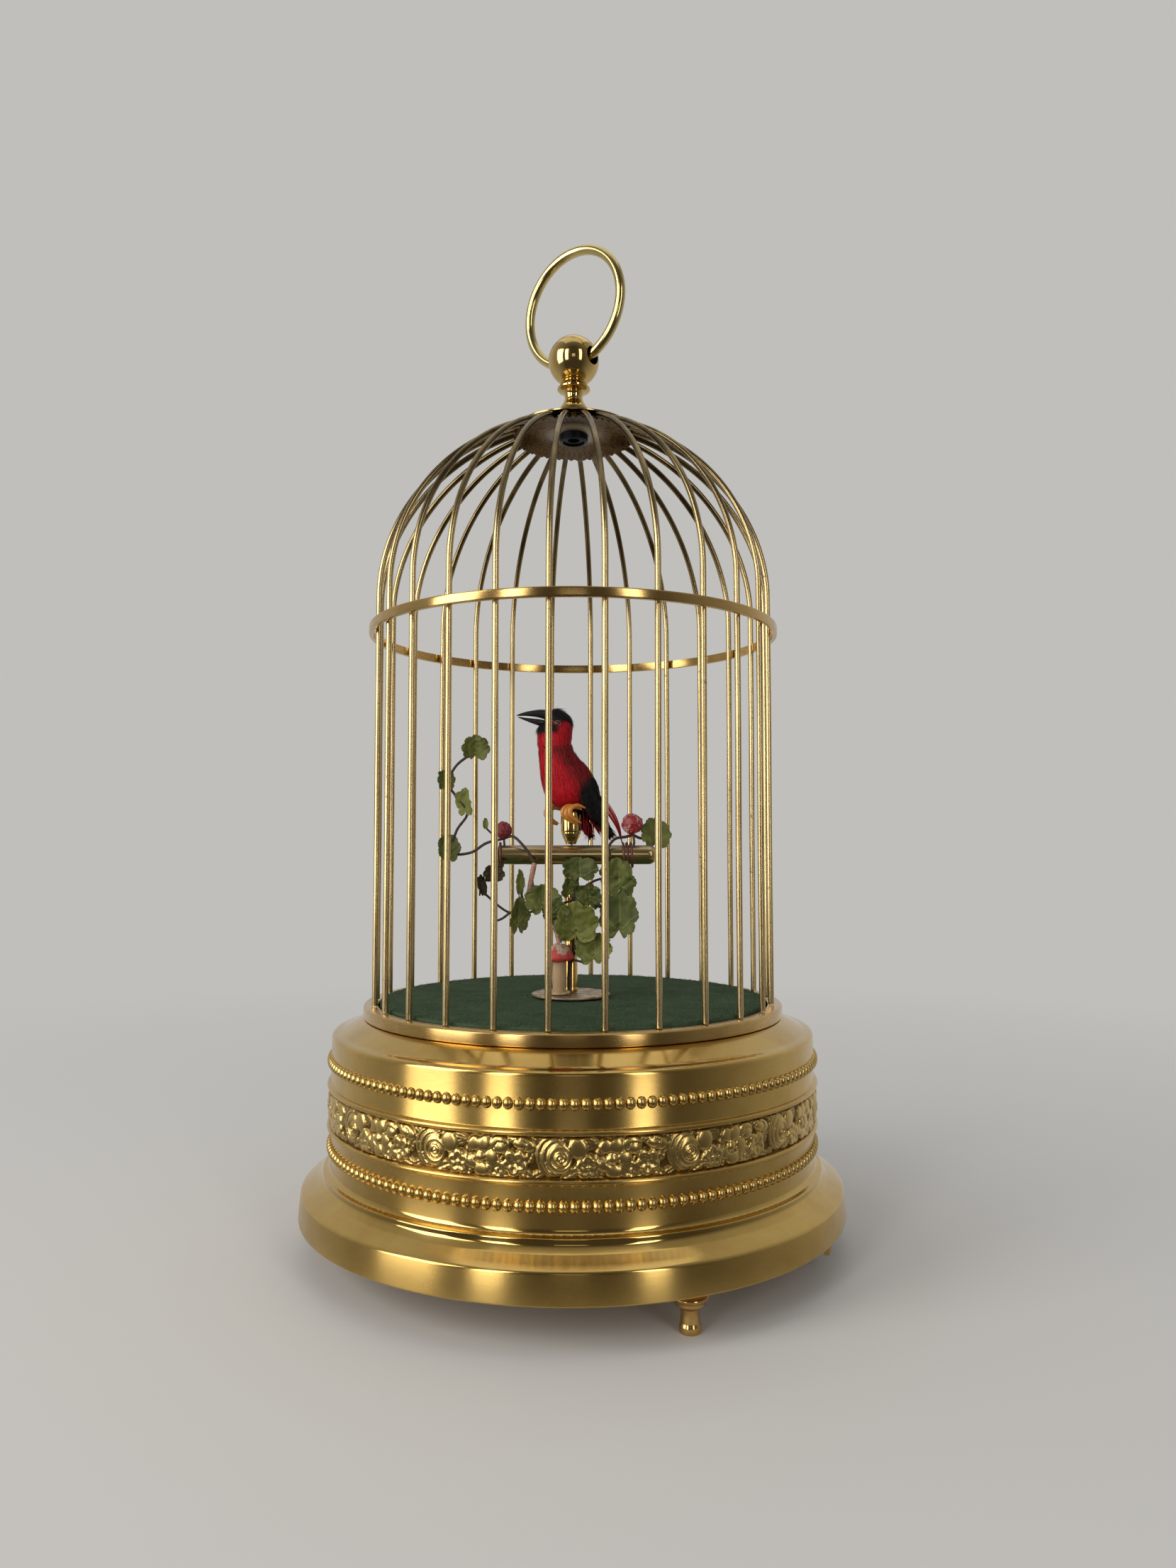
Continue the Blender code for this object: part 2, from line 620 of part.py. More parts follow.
def make_cage_rings():
    """The ring that the wires stand on, and the band that holds them half way up."""
    foot_ring = ring_profile(RING_BORE, RING_RADIUS, RING_UNDER, RING_TOP)
    place(turned("cage_base_ring", foot_ring, closed=True), brass("ring_brass"))
    bore = (WIRE_CIRCLE + WIRE_RADIUS + GAP) / math.cos(math.pi / ROUND_STEPS)
    band = ring_profile(bore, bore + BAND_WALL, BAND_UNDER, BAND_UNDER + BAND_HEIGHT)
    place(turned("cage_band", band, closed=True), brass("band_brass"))


def dome_height(radius):
    """Height of a wire's centre line over the dome, a little more pointed than an ellipse."""
    fall = (radius / WIRE_CIRCLE) ** DOME_FULLNESS
    return SPRINGING + DOME_RISE * (1.0 - fall) ** (1.0 / DOME_FULLNESS)


def make_cage_wires():
    """The bars: straight up from the ring, then over the dome to the cap."""
    arc_steps = 7
    end_angle = math.acos(WIRE_END_CIRCLE / WIRE_CIRCLE)
    points = [(WIRE_CIRCLE, 0.0, WIRE_FOOT)]
    for step in range(arc_steps + 1):
        angle = end_angle * step / arc_steps
        radius = WIRE_CIRCLE * math.cos(angle)
        points.append((radius, 0.0, dome_height(radius)))
    shared = settled(tube("wire", points, WIRE_RADIUS), "cage_wire").data
    shared.shade_smooth()
    shared.materials.append(brass("wire_brass"))
    for index in range(WIRE_COUNT):
        wire = bpy.data.objects.new(f"cage_wire_{index + 1:02d}", shared)
        wire.rotation_euler.z = math.radians(WIRE_TURN - 90.0 + 360.0 / WIRE_COUNT * index)
        place(wire, None, smooth=False)


def cap_under(radius):
    """Underside of the cap: just clear of the wires."""
    return dome_height(radius) + WIRE_RADIUS * 1.05 + GAP


def make_cap_and_dish():
    """The spun cap over the wires' ends and the dish under them, drawn together by the finial's stud."""
    radii = [STUD_RADIUS + GAP, FINIAL_FOOT_RADIUS, WIRE_END_CIRCLE, 0.75 * CAP_RADIUS, CAP_RADIUS]
    top = [(radius, cap_under(radius) + CAP_WALL) for radius in radii]
    under = [(radius, cap_under(radius)) for radius in reversed(radii)]
    place(turned("cage_cap", top + under, CAP_STEPS, closed=True), brass("cap_brass"))
    wire_under = dome_height(WIRE_END_CIRCLE) - WIRE_RADIUS
    seat = wire_under - 2 * GAP
    inner = STUD_RADIUS + GAP
    dish = [
        (inner, seat), (WIRE_END_CIRCLE, seat), (0.75 * DISH_RADIUS, seat - DISH_DROP * 0.42),
        (DISH_RADIUS, seat - DISH_DROP), (DISH_RADIUS, seat - DISH_DROP - CAP_WALL),
        (0.75 * DISH_RADIUS - CAP_WALL, seat - DISH_DROP * 0.42 - CAP_WALL * 1.5),
        (WIRE_END_CIRCLE - CAP_WALL, seat - CAP_WALL * 2), (HUB_RADIUS, seat - CAP_WALL * 3),
        (HUB_RADIUS, seat - HUB_LENGTH), (HUB_RADIUS * 0.8, seat - HUB_LENGTH),
        (HUB_RADIUS * 0.8, seat - HUB_LENGTH * 0.55), (inner, seat - HUB_LENGTH * 0.55),
    ]
    place(turned("inner_dish", dish, CAP_STEPS, closed=True), brass("dish_brass"))
    return seat


def ball_centre():
    return cap_under(FINIAL_FOOT_RADIUS) + CAP_WALL + GAP + FINIAL_STEM + BALL_RADIUS


def make_finial(dish_seat):
    """The turned finial: a ball on a waisted stem, cross-drilled, and a stud down to the hub."""
    foot = cap_under(FINIAL_FOOT_RADIUS) + CAP_WALL + GAP
    centre = ball_centre()
    ball = []
    last_angle = math.radians(150.0)
    for step in range(10):
        angle = last_angle * step / 9
        ball.append((BALL_RADIUS * math.sin(angle), centre + BALL_RADIUS * math.cos(angle)))
    ball[0] = (0.0, ball[0][1])
    collar = foot + FINIAL_STEM * 0.9
    stud_end = dish_seat - HUB_LENGTH * 0.5
    profile = ball + [
        (FINIAL_COLLAR_RADIUS, collar + 0.5 * MM), (FINIAL_COLLAR_RADIUS, collar - 0.5 * MM),
        (FINIAL_WAIST_RADIUS * 1.15, foot + FINIAL_STEM * 0.78),
        (FINIAL_WAIST_RADIUS, foot + FINIAL_STEM * 0.66),
        (FINIAL_WAIST_RADIUS * 1.25, foot + FINIAL_STEM * 0.52), (FINIAL_FOOT_RADIUS, foot + FINIAL_STEM * 0.4),
        (FINIAL_FOOT_RADIUS, foot), (STUD_RADIUS, foot), (STUD_RADIUS, stud_end), (0.0, stud_end),
    ]
    hole = rod("cross_hole", RING_WIRE_RADIUS + RING_PLAY + GAP, -2 * BALL_RADIUS, 2 * BALL_RADIUS, 20)
    hole.rotation_euler = (0.0, math.radians(90.0), math.radians(RING_TURN))
    hole.location.z = centre
    place(cut("finial", turned("finial_turning", profile, SMALL_STEPS), [hole]), brass("finial_brass"))


def make_carrying_ring():
    """The loose ring through the ball, standing upright, with its origin on the hole's axis."""
    hole_axis = ball_centre()
    centre = Vector((0.0, 0.0, hole_axis - RING_PLAY + RING_CENTRELINE))
    turn = math.radians(RING_TURN)
    across = Vector((math.cos(turn), math.sin(turn), 0.0))
    points = []
    for step in range(RING_POINTS):
        angle = 2 * math.pi * step / RING_POINTS
        spoke = math.cos(angle) * across + math.sin(angle) * Vector((0, 0, 1))
        points.append(centre + RING_CENTRELINE * spoke)
    ring = settled(tube("carrying_ring", points, RING_WIRE_RADIUS, closed=True))
    place(set_origin(ring, (0.0, 0.0, hole_axis)), brass("carrying_ring_brass"))


def make_post():
    """The flange on the felt, the hollow post, the perch bar across it and the socket for the bird."""
    flange = ring_profile(ROD_BORE, POST_FLANGE_RADIUS, FLANGE_UNDER, FLANGE_TOP)
    place(moved(turned("post_flange", flange, CAP_STEPS, closed=True), POST_X), brass("flange_brass"))
    post = ring_profile(ROD_BORE, POST_RADIUS, POST_FOOT, POST_FOOT + POST_HEIGHT)
    place(moved(turned("perch_post", post, 16, closed=True), POST_X), brass("post_brass"))
    r = PERCH_RADIUS
    bar_profile = [
        (0.0, PERCH_RIGHT), (r * 0.6, PERCH_RIGHT - r * 0.12), (r, PERCH_RIGHT - r * 0.6),
        (r, -PERCH_LEFT + r * 0.3), (r * 0.8, -PERCH_LEFT), (0.0, -PERCH_LEFT),
    ]
    bar = turned("bar", bar_profile, SMALL_STEPS)
    bar.rotation_euler.y = math.radians(90.0)
    bar.location = (POST_X, 0.0, PERCH_LEVEL)
    bore = moved(rod("bore", ROD_BORE, POST_FOOT, BIRD_SEAT, 12), POST_X)
    place(cut("perch_bar", bar, [bore]), brass("perch_brass"))
    top = SOCKET_FOOT + SOCKET_HEIGHT
    socket = [
        (ROD_BORE, top), (SOCKET_RADIUS * 0.8, top), (SOCKET_RADIUS, top - 1.0 * MM),
        (SOCKET_RADIUS, SOCKET_FOOT + SOCKET_HEIGHT * 0.36),
        (SOCKET_RADIUS * 0.72, SOCKET_FOOT + SOCKET_HEIGHT * 0.1),
        (SOCKET_RADIUS * 0.5, SOCKET_FOOT), (ROD_BORE, SOCKET_FOOT),
    ]
    place(moved(turned("bird_socket", socket, SMALL_STEPS, closed=True), POST_X), brass("socket_brass"))


def make_drive_rod():
    """The rod up the post that turns the bird's head, with the cam follower's arm at its foot."""
    foot = FRAME_TOP + GAP
    half = ROD_ARM_THICKNESS / 2
    shank = rod("shank", ROD_RADIUS, foot, BIRD_SEAT - ROD_END_INSET, 10)
    arm = block("arm", (-ROD_ARM_LENGTH, -half, foot), (2 * half, half, foot + ROD_ARM_THICKNESS))
    whole = joined("drive_rod", arm, [shank])
    place(moved(whole, POST_X), steel("rod_steel"))


def make_movement_frame():
    """Two plates held apart by four pillars that stand on the bottom plate, bored for the arbors."""
    wheel_reach = GEAR_MODULE * (CAM_WHEEL_TEETH / 2 + TOOTH_TIP)
    left_pillar = CAM_AXIS[0] - wheel_reach - WHEEL_CLEARANCE - PILLAR_RADIUS
    right_pillar = FRAME_TOP_RIGHT - PILLAR_INSET
    left = left_pillar - PILLAR_INSET
    half = FRAME_HALF_DEPTH
    low = block("low_plate", (left, -half, FRAME_UNDER), (FRAME_RIGHT, half, FRAME_FLOOR))
    high = block("high_plate", (left, -half, FRAME_CEILING), (FRAME_TOP_RIGHT, half, FRAME_TOP))
    pillars = []
    for x in (left_pillar, right_pillar):
        for y in (-half + PILLAR_INSET, half - PILLAR_INSET):
            pillar = rod("pillar", PILLAR_RADIUS, PLATE_TOP + GAP, FRAME_CEILING + FRAME_PLATE / 2, 8)
            pillars.append(moved(pillar, x, y))
    frame = joined("movement_frame", low, [high, *pillars])
    bores = []
    arbors = [((0.0, 0.0), ARBOR_RADIUS), (CAM_AXIS, SHAFT_RADIUS), (FLY_AXIS, SHAFT_RADIUS)]
    for axis, radius in arbors:
        bores.append(moved(rod("bore", radius + GAP, PLATE_TOP, FELT_TOP, 12), *axis))
    place(cut("movement_frame", frame, bores), finish("frame_brass", (0.60, 0.44, 0.18), 1.0, 0.4))


def gear(name, teeth, low, thickness, turn=0.0):
    """A spur gear with straight-sided teeth on the Z axis, its first tooth on +X turned by some degrees."""
    pitch_radius = GEAR_MODULE * teeth / 2
    tip = pitch_radius + TOOTH_TIP * GEAR_MODULE
    root = pitch_radius - TOOTH_ROOT * GEAR_MODULE
    pitch_angle = 2 * math.pi / teeth

    def draw(shape):
        outline = []
        for index in range(teeth):
            middle = math.radians(turn) + index * pitch_angle
            for radius, share in ((root, -1.35), (tip, -0.6), (tip, 0.6), (root, 1.35)):
                angle = middle + share * pitch_angle * TOOTH_SHARE / 2
                outline.append(shape.verts.new((radius * math.cos(angle), radius * math.sin(angle), low)))
        face = shape.faces.new(outline)
        raised = bmesh.ops.extrude_face_region(shape, geom=[face])["geom"]
        corners = [item for item in raised if isinstance(item, bmesh.types.BMVert)]
        bmesh.ops.translate(shape, verts=corners, vec=(0.0, 0.0, thickness))
        bmesh.ops.recalc_face_normals(shape, faces=shape.faces)
    return mesh_object(name, draw)


def axis_place(start, first_teeth, second_teeth, degrees):
    """Where a second gear's axis lies, one pitch distance from the first's."""
    x, y = on_circle(GEAR_MODULE * (first_teeth + second_teeth) / 2, degrees)
    return start[0] + x, start[1] + y


def make_movement():
    """The mainspring barrel, the cam shaft that it drives and the fly that governs the speed."""
    wheel_low = FRAME_FLOOR + PLATE_BACKLASH
    body_low = wheel_low + WHEEL_THICKNESS
    body_high = body_low + BARREL_BODY_HEIGHT
    body_radius = GEAR_MODULE * (BARREL_TEETH / 2 - TOOTH_ROOT) - BARREL_RIM
    arbor = rod("arbor", ARBOR_RADIUS, FRAME_UNDER - ARBOR_PROUD, FRAME_TOP, 16)
    drum = rod("drum", body_radius, wheel_low + WHEEL_THICKNESS / 2, body_high, 32)
    wheel = gear("great_wheel", BARREL_TEETH, wheel_low, WHEEL_THICKNESS, CAM_TURN)
    place(joined("mainspring_barrel", wheel, [drum, arbor]), brass("barrel_brass"))

    cam_turn = CAM_TURN + 180.0 + 180.0 / CAM_PINION_TEETH
    pinion = gear("pinion", CAM_PINION_TEETH, wheel_low, WHEEL_THICKNESS, cam_turn)
    high_wheel_low = body_high + PLATE_BACKLASH
    wheel = gear("cam_wheel", CAM_WHEEL_TEETH, high_wheel_low, WHEEL_THICKNESS, FLY_TURN)
    cam_radius = math.hypot(*CAM_AXIS) - body_radius - CAM_CLEARANCE
    cam_pitch = BARREL_BODY_HEIGHT / CAM_COUNT
    cams = []
    for index in range(CAM_COUNT):
        low = body_low + (index + 0.2) * cam_pitch
        x, y = on_circle(CAM_THROW, 360.0 / CAM_COUNT * index)
        cams.append(moved(rod("cam", cam_radius - CAM_THROW, low, low + CAM_THICKNESS, 14), x, y))
    shaft = rod("shaft", SHAFT_RADIUS, FRAME_UNDER, FRAME_TOP, 12)
    place(moved(joined("cam_shaft", shaft, [pinion, wheel, *cams]), *CAM_AXIS), steel("cam_steel"))

    fly_turn = FLY_TURN + 180.0 + 180.0 / FLY_PINION_TEETH
    pinion = gear("pinion", FLY_PINION_TEETH, high_wheel_low, WHEEL_THICKNESS, fly_turn)
    vane_high = high_wheel_low - PLATE_BACKLASH
    half = FLY_VANE_THICKNESS / 2
    vanes = block(
        "vanes", (-FLY_VANE_LENGTH, -half, vane_high - FLY_VANE_HEIGHT), (FLY_VANE_LENGTH, half, vane_high))
    shaft = rod("shaft", SHAFT_RADIUS, FRAME_UNDER, FRAME_TOP, 12)
    place(moved(joined("fly_governor", shaft, [pinion, vanes]), *FLY_AXIS), steel("fly_steel"))


def make_bellows():
    """The leather bellows on the frame's right end, and the whistle that they blow on top."""
    centre_x = (FRAME_TOP_RIGHT + FRAME_RIGHT) / 2
    low = FRAME_FLOOR + GAP
    fold = BELLOWS_HEIGHT / (2 * BELLOWS_FOLDS)
    half_x = BELLOWS_WIDTH / 2
    half_y = BELLOWS_DEPTH / 2

    def draw(shape):
        corners = ((-half_x, -half_y), (half_x, -half_y), (half_x, half_y), (-half_x, half_y))
        section = shape.faces.new([shape.verts.new((x, y, low)) for x, y in corners])
        for index in range(2 * BELLOWS_FOLDS):
            raised = bmesh.ops.extrude_face_region(shape, geom=[section])["geom"]
            rim = [item for item in raised if isinstance(item, bmesh.types.BMVert)]
            new_section = [item for item in raised if isinstance(item, bmesh.types.BMFace)][0]
            if index:
                bmesh.ops.delete(shape, geom=[section], context="FACES_ONLY")
            section = new_section
            narrow = BELLOWS_PINCH if index % 2 == 0 else 1.0 / BELLOWS_PINCH
            bmesh.ops.translate(shape, verts=rim, vec=(0.0, 0.0, fold))
            bmesh.ops.scale(shape, verts=rim, vec=(narrow, narrow, 1.0))
        bmesh.ops.recalc_face_normals(shape, faces=shape.faces)
    bellows = mesh_object("bellows", draw)
    bellows.location.x = centre_x
    place(bellows, finish("bellows_leather", (0.23, 0.13, 0.07), 0.0, 0.7), smooth=False)

    axis = low + BELLOWS_HEIGHT + GAP + WHISTLE_RADIUS
    r = WHISTLE_RADIUS
    half = WHISTLE_LENGTH / 2
    bore = r - WHISTLE_WALL
    stop = half * 0.6
    profile = [(0.0, half), (r, half), (r, -half), (bore, -half), (bore, stop), (0.0, stop)]
    pipe = turned("pipe", profile, SMALL_STEPS)
    pipe.rotation_euler.x = math.radians(90.0)
    pipe.location = (centre_x, 0.0, axis)
    mouth = block(
        "mouth", (centre_x - r / 2, -half / 2, axis), (centre_x + r / 2, -half / 4, axis + 2 * r))
    place(cut("whistle", pipe, [mouth]), brass("whistle_brass"))


def bird_tube(name, spine, resolution=4, spans=2):
    """A swelling and tapering form along a spine of (x, height, radius) in the bird's frame."""
    path = smooth_path(spine, spans)
    points = [(x * MM, 0.0, height * MM) for x, height, radius in path]
    radii = [max(radius, THINNEST) * MM for x, height, radius in path]
    return tube(name, points, 1.0, radii, resolution)


def to_bird(obj, degrees=BIRD_TURN):
    """Take a solid from the bird's frame to its place on the socket."""
    turn = Matrix.Rotation(math.radians(degrees), 4, "Z")
    obj.data.transform(Matrix.Translation((POST_X, 0.0, BIRD_SEAT)) @ turn)
    return obj


def head_axis():
    turn = math.radians(BIRD_TURN)
    return POST_X - HEAD_FORWARD * math.cos(turn), -HEAD_FORWARD * math.sin(turn)


def to_head(obj):
    """Take a solid from the head's frame, whose Z axis is the neck's, to its place on the bird."""
    turn = Matrix.Rotation(math.radians(BIRD_TURN + HEAD_TURN), 4, "Z")
    x, y = head_axis()
    obj.data.transform(Matrix.Translation((x, y, BIRD_SEAT)) @ turn)
    return obj


def make_bird_body():
    """The breast, back, folded wings and curled legs, hollowed underneath for the socket."""
    body = settled(bird_tube("body", BIRD_SPINE))
    others = []
    for side in (-1.0, 1.0):
        wing = settled(bird_tube("wing", WING_SPINE, 2))
        spread = Matrix.Translation((0.0, side * WING_SPREAD, 0.0))
        wing.data.transform(spread @ Matrix.Diagonal((1.0, WING_THINNESS, 1.0, 1.0)))
        others.append(wing)
        leg = settled(bird_tube("leg", LEG_SPINE, 1))
        leg.data.transform(Matrix.Translation((0.0, side * LEG_SPREAD, 0.0)))
        others.append(leg)
    whole = joined("bird_body", body, others)
    neck_cut = HEAD_SPINE[0][1] * MM - GAP
    socket_room = rod("socket_room", SOCKET_RADIUS + GAP, -SOCKET_HEIGHT, 0.0, SMALL_STEPS)
    neck_room = rod("neck_room", 3 * SOCKET_RADIUS, neck_cut, 2 * neck_cut, SMALL_STEPS)
    neck_room.location.x = -HEAD_FORWARD
    whole = cut("bird_body", whole, [socket_room, neck_room])
    place(to_bird(whole), finish("red_feathers", (0.45, 0.01, 0.01), 0.0, 0.6))


def make_bird_head():
    """The head with the upper beak, on the neck's upright axis, and the lower beak on its own pivot."""
    head = settled(bird_tube("head", HEAD_SPINE))
    beak = settled(bird_tube("beak", UPPER_BEAK, 2))
    neck_level = HEAD_SPINE[0][1] * MM
    floor = block("floor", (-neck_level, -neck_level, 0.0), (neck_level, neck_level, neck_level))
    whole = cut("bird_head", joined("bird_head", head, [beak]), [floor])
    x, y = head_axis()
    neck = (x, y, BIRD_SEAT + neck_level)
    place(set_origin(to_head(whole), neck), finish("head_feathers", (0.30, 0.01, 0.01), 0.0, 0.6))

    root_x, root_up = LOWER_BEAK_ROOT
    spine = [
        (root_x - 0.9, root_up, LOWER_BEAK_RADIUS * 0.75), (root_x - 2.2, root_up + 0.1, LOWER_BEAK_RADIUS),
        (root_x - LOWER_BEAK_LENGTH * 0.65, root_up + 0.6, LOWER_BEAK_RADIUS * 0.6),
        (root_x - LOWER_BEAK_LENGTH, root_up + 1.0, 2 * THINNEST),
    ]
    lower = to_head(settled(bird_tube("bird_lower_beak", spine, 2)))
    turn = math.radians(BIRD_TURN + HEAD_TURN)
    pivot = (x + root_x * MM * math.cos(turn), y + root_x * MM * math.sin(turn), BIRD_SEAT + root_up * MM)
    place(set_origin(lower, pivot), finish("beak_horn", (0.02, 0.02, 0.02), 0.0, 0.35))


def make_bird_tail():
    """The flat tail, hung behind the body between the wing tips."""
    half = TAIL_LENGTH / 2

    def draw(shape):
        bmesh.ops.create_uvsphere(shape, u_segments=12, v_segments=8, radius=1.0)
        size = Matrix.Diagonal((half, TAIL_WIDTH / 2, TAIL_THICKNESS / 2, 1.0))
        slope = Matrix.Rotation(math.radians(TAIL_SLOPE), 4, "Y")
        root = Matrix.Translation((TAIL_ROOT[0] * MM, 0.0, TAIL_ROOT[1] * MM))
        middle = Matrix.Translation((half, 0.0, 0.0))
        bmesh.ops.transform(shape, verts=shape.verts, matrix=root @ slope @ middle @ size)
    tail = to_bird(mesh_object("bird_tail", draw))
    turn = math.radians(BIRD_TURN)
    root = TAIL_ROOT[0] * MM
    pivot = (POST_X + root * math.cos(turn), root * math.sin(turn), BIRD_SEAT + TAIL_ROOT[1] * MM)
    place(set_origin(tail, pivot), finish("tail_feathers", (0.45, 0.01, 0.01), 0.0, 0.6))


def leaf(spec, level):
    """One lobed leaf: a flat, notched disc, leaned about X and turned about Z."""
    centre, width, height, lean, turn = spec
    lobes = 7
    notch = 0.86

    def draw(shape):
        outline = []
        for index in range(2 * lobes):
            angle = math.pi * (index + 0.5) / lobes
            reach = 1.0 if index % 2 else notch
            outline.append(shape.verts.new((reach * math.cos(angle), reach * math.sin(angle), 0.0)))
        face = shape.faces.new(outline)
        raised = bmesh.ops.extrude_face_region(shape, geom=[face])["geom"]
        top = [item for item in raised if isinstance(item, bmesh.types.BMVert)]
        bmesh.ops.translate(shape, verts=top, vec=(0.0, 0.0, 1.0))
        bmesh.ops.translate(shape, verts=shape.verts, vec=(0.0, 0.0, -0.5))
        bmesh.ops.recalc_face_normals(shape, faces=shape.faces)
        size = Matrix.Diagonal((width * MM / 2, height * MM / 2, LEAF_THICKNESS, 1.0))
        upright = Matrix.Rotation(math.radians(90.0 + lean), 4, "X")
        spin = Matrix.Rotation(math.radians(turn), 4, "Z")
        where = Matrix.Translation(raised_points([centre], level)[0])
        bmesh.ops.transform(shape, verts=shape.verts, matrix=where @ spin @ upright @ size)
    return mesh_object("leaf", draw)


def stem(points, level, spans=2):
    return tube("stem", raised_points(smooth_path(points, spans), level), STEM_RADIUS, resolution=0)


def berry(centre, radius):
    def draw(shape):
        where = Matrix.Translation(raised_points([centre], PERCH_LEVEL)[0])
        bmesh.ops.create_uvsphere(shape, u_segments=12, v_segments=8, radius=radius, matrix=where)
    return mesh_object("berry", draw)


def wrap(centre_x, berry_centre):
    """Turns of wire round the perch bar that end in the berry above them."""
    radius = PERCH_RADIUS + GAP + WRAP_RADIUS
    points = []
    for step in range(WRAP_TURNS * WRAP_POINTS + 1):
        angle = 2 * math.pi * step / WRAP_POINTS
        shift = WRAP_PITCH * (step / WRAP_POINTS - WRAP_TURNS)
        points.append((centre_x + shift, -radius * math.sin(angle), PERCH_LEVEL + radius * math.cos(angle)))
    points.extend(raised_points([berry_centre], PERCH_LEVEL))
    return tube("wrap", points, WRAP_RADIUS, resolution=1)


def make_foliage():
    """The wired sprays of cloth leaves: the vine on the left, the bunch by the post, the sprig."""
    vine = joined("vine_spray", stem(VINE_PATH, PERCH_LEVEL), [
        *[leaf(spec, PERCH_LEVEL) for spec in VINE_LEAVES],
        berry(LEFT_BERRY, LEFT_BERRY_RADIUS), wrap(LEFT_WRAP_X, LEFT_BERRY)])
    place(vine, leaf_green("vine_green"), smooth=False)
    bunch = joined("leaf_bouquet", stem(BOUQUET_STEM, POST_FOOT), [
        *[leaf(spec, POST_FOOT) for spec in BOUQUET_LEAVES],
        *[stem(twig, POST_FOOT, 1) for twig in BOUQUET_TWIGS]])
    place(bunch, leaf_green("bouquet_green"), smooth=False)
    sprig = joined("right_sprig", stem(SPRIG_PATH, PERCH_LEVEL), [
        stem(SPRIG_STALK, PERCH_LEVEL), leaf(SPRIG_LEAF, PERCH_LEVEL),
        berry(RIGHT_BERRY, RIGHT_BERRY_RADIUS), wrap(RIGHT_WRAP_X, RIGHT_BERRY)])
    place(sprig, leaf_green("sprig_green"), smooth=False)


def make_mushroom():
    """The little toadstool on the flange, in front of the post."""
    foot = FLANGE_TOP + GAP
    gills = foot + MUSHROOM_STEM_HEIGHT
    r = MUSHROOM_CAP_RADIUS
    h = MUSHROOM_CAP_HEIGHT
    profile = [
        (0.0, gills + h), (r * 0.5, gills + h * 0.92), (r * 0.86, gills + h * 0.62), (r, gills + h * 0.22),
        (r * 0.86, gills), (MUSHROOM_STEM_RADIUS * 0.9, gills),
        (MUSHROOM_STEM_RADIUS, gills - MUSHROOM_STEM_HEIGHT / 2), (MUSHROOM_STEM_RADIUS * 0.7, foot),
        (0.0, foot),
    ]
    toadstool = moved(turned("mushroom", profile, 16), MUSHROOM_CAP_RIGHT - r, -MUSHROOM_FORWARD)
    place(toadstool, finish("mushroom_red", (0.50, 0.04, 0.03), 0.0, 0.5))


clear_scene()
PIECES = new_collection("singing_bird_automaton")
GUIDES = new_collection("cutters")
CAM_AXIS = axis_place((0.0, 0.0), BARREL_TEETH, CAM_PINION_TEETH, CAM_TURN)
FLY_AXIS = axis_place(CAM_AXIS, CAM_WHEEL_TEETH, FLY_PINION_TEETH, FLY_TURN)

make_base_drum()
make_bottom_plate()
make_feet()
make_winding_key()
make_stop_lever()
make_movement_frame()
make_movement()
make_bellows()
make_stage()
make_cage_rings()
make_cage_wires()
make_finial(make_cap_and_dish())
make_carrying_ring()
make_post()
make_drive_rod()
make_mushroom()
make_foliage()
make_bird_body()
make_bird_head()
make_bird_tail()
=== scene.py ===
# A singing bird in a domed brass cage on a round embossed drum, dressed for the camera.
import math
import random

import bmesh
import bpy
import numpy
from mathutils import Matrix, Vector, noise


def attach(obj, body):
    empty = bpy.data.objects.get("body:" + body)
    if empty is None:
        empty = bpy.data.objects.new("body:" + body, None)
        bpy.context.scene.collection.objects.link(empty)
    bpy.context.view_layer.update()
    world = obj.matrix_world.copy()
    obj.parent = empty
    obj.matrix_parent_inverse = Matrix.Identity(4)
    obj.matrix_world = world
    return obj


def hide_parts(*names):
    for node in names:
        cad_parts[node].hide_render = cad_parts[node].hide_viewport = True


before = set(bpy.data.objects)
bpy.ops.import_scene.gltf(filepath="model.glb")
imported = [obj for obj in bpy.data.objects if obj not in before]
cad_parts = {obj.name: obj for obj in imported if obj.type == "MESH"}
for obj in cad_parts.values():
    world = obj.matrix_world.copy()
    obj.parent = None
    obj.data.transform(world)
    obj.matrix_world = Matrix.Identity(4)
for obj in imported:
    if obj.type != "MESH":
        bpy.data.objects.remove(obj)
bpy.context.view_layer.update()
scene = bpy.context.scene
scene.view_settings.view_transform = "Standard"
MM = 0.001

# The studio: a camera level with the cage's middle, a wall that goes from pale behind the cage
# to a dimmer grey behind the camera, three tall soft windows, a soft ceiling and a pale floor.
camera = bpy.data.objects.new("camera", bpy.data.cameras.new("camera"))
camera.data.sensor_fit = "VERTICAL"
camera.data.sensor_height = 36.0
camera.data.lens = 25.144
camera.data.clip_start = 0.01
camera.location = (0.00434, -0.3254, 0.1129)
camera.rotation_euler = (math.radians(90.0 + 3.236), 0.0, 0.0)
scene.collection.objects.link(camera)
scene.camera = camera


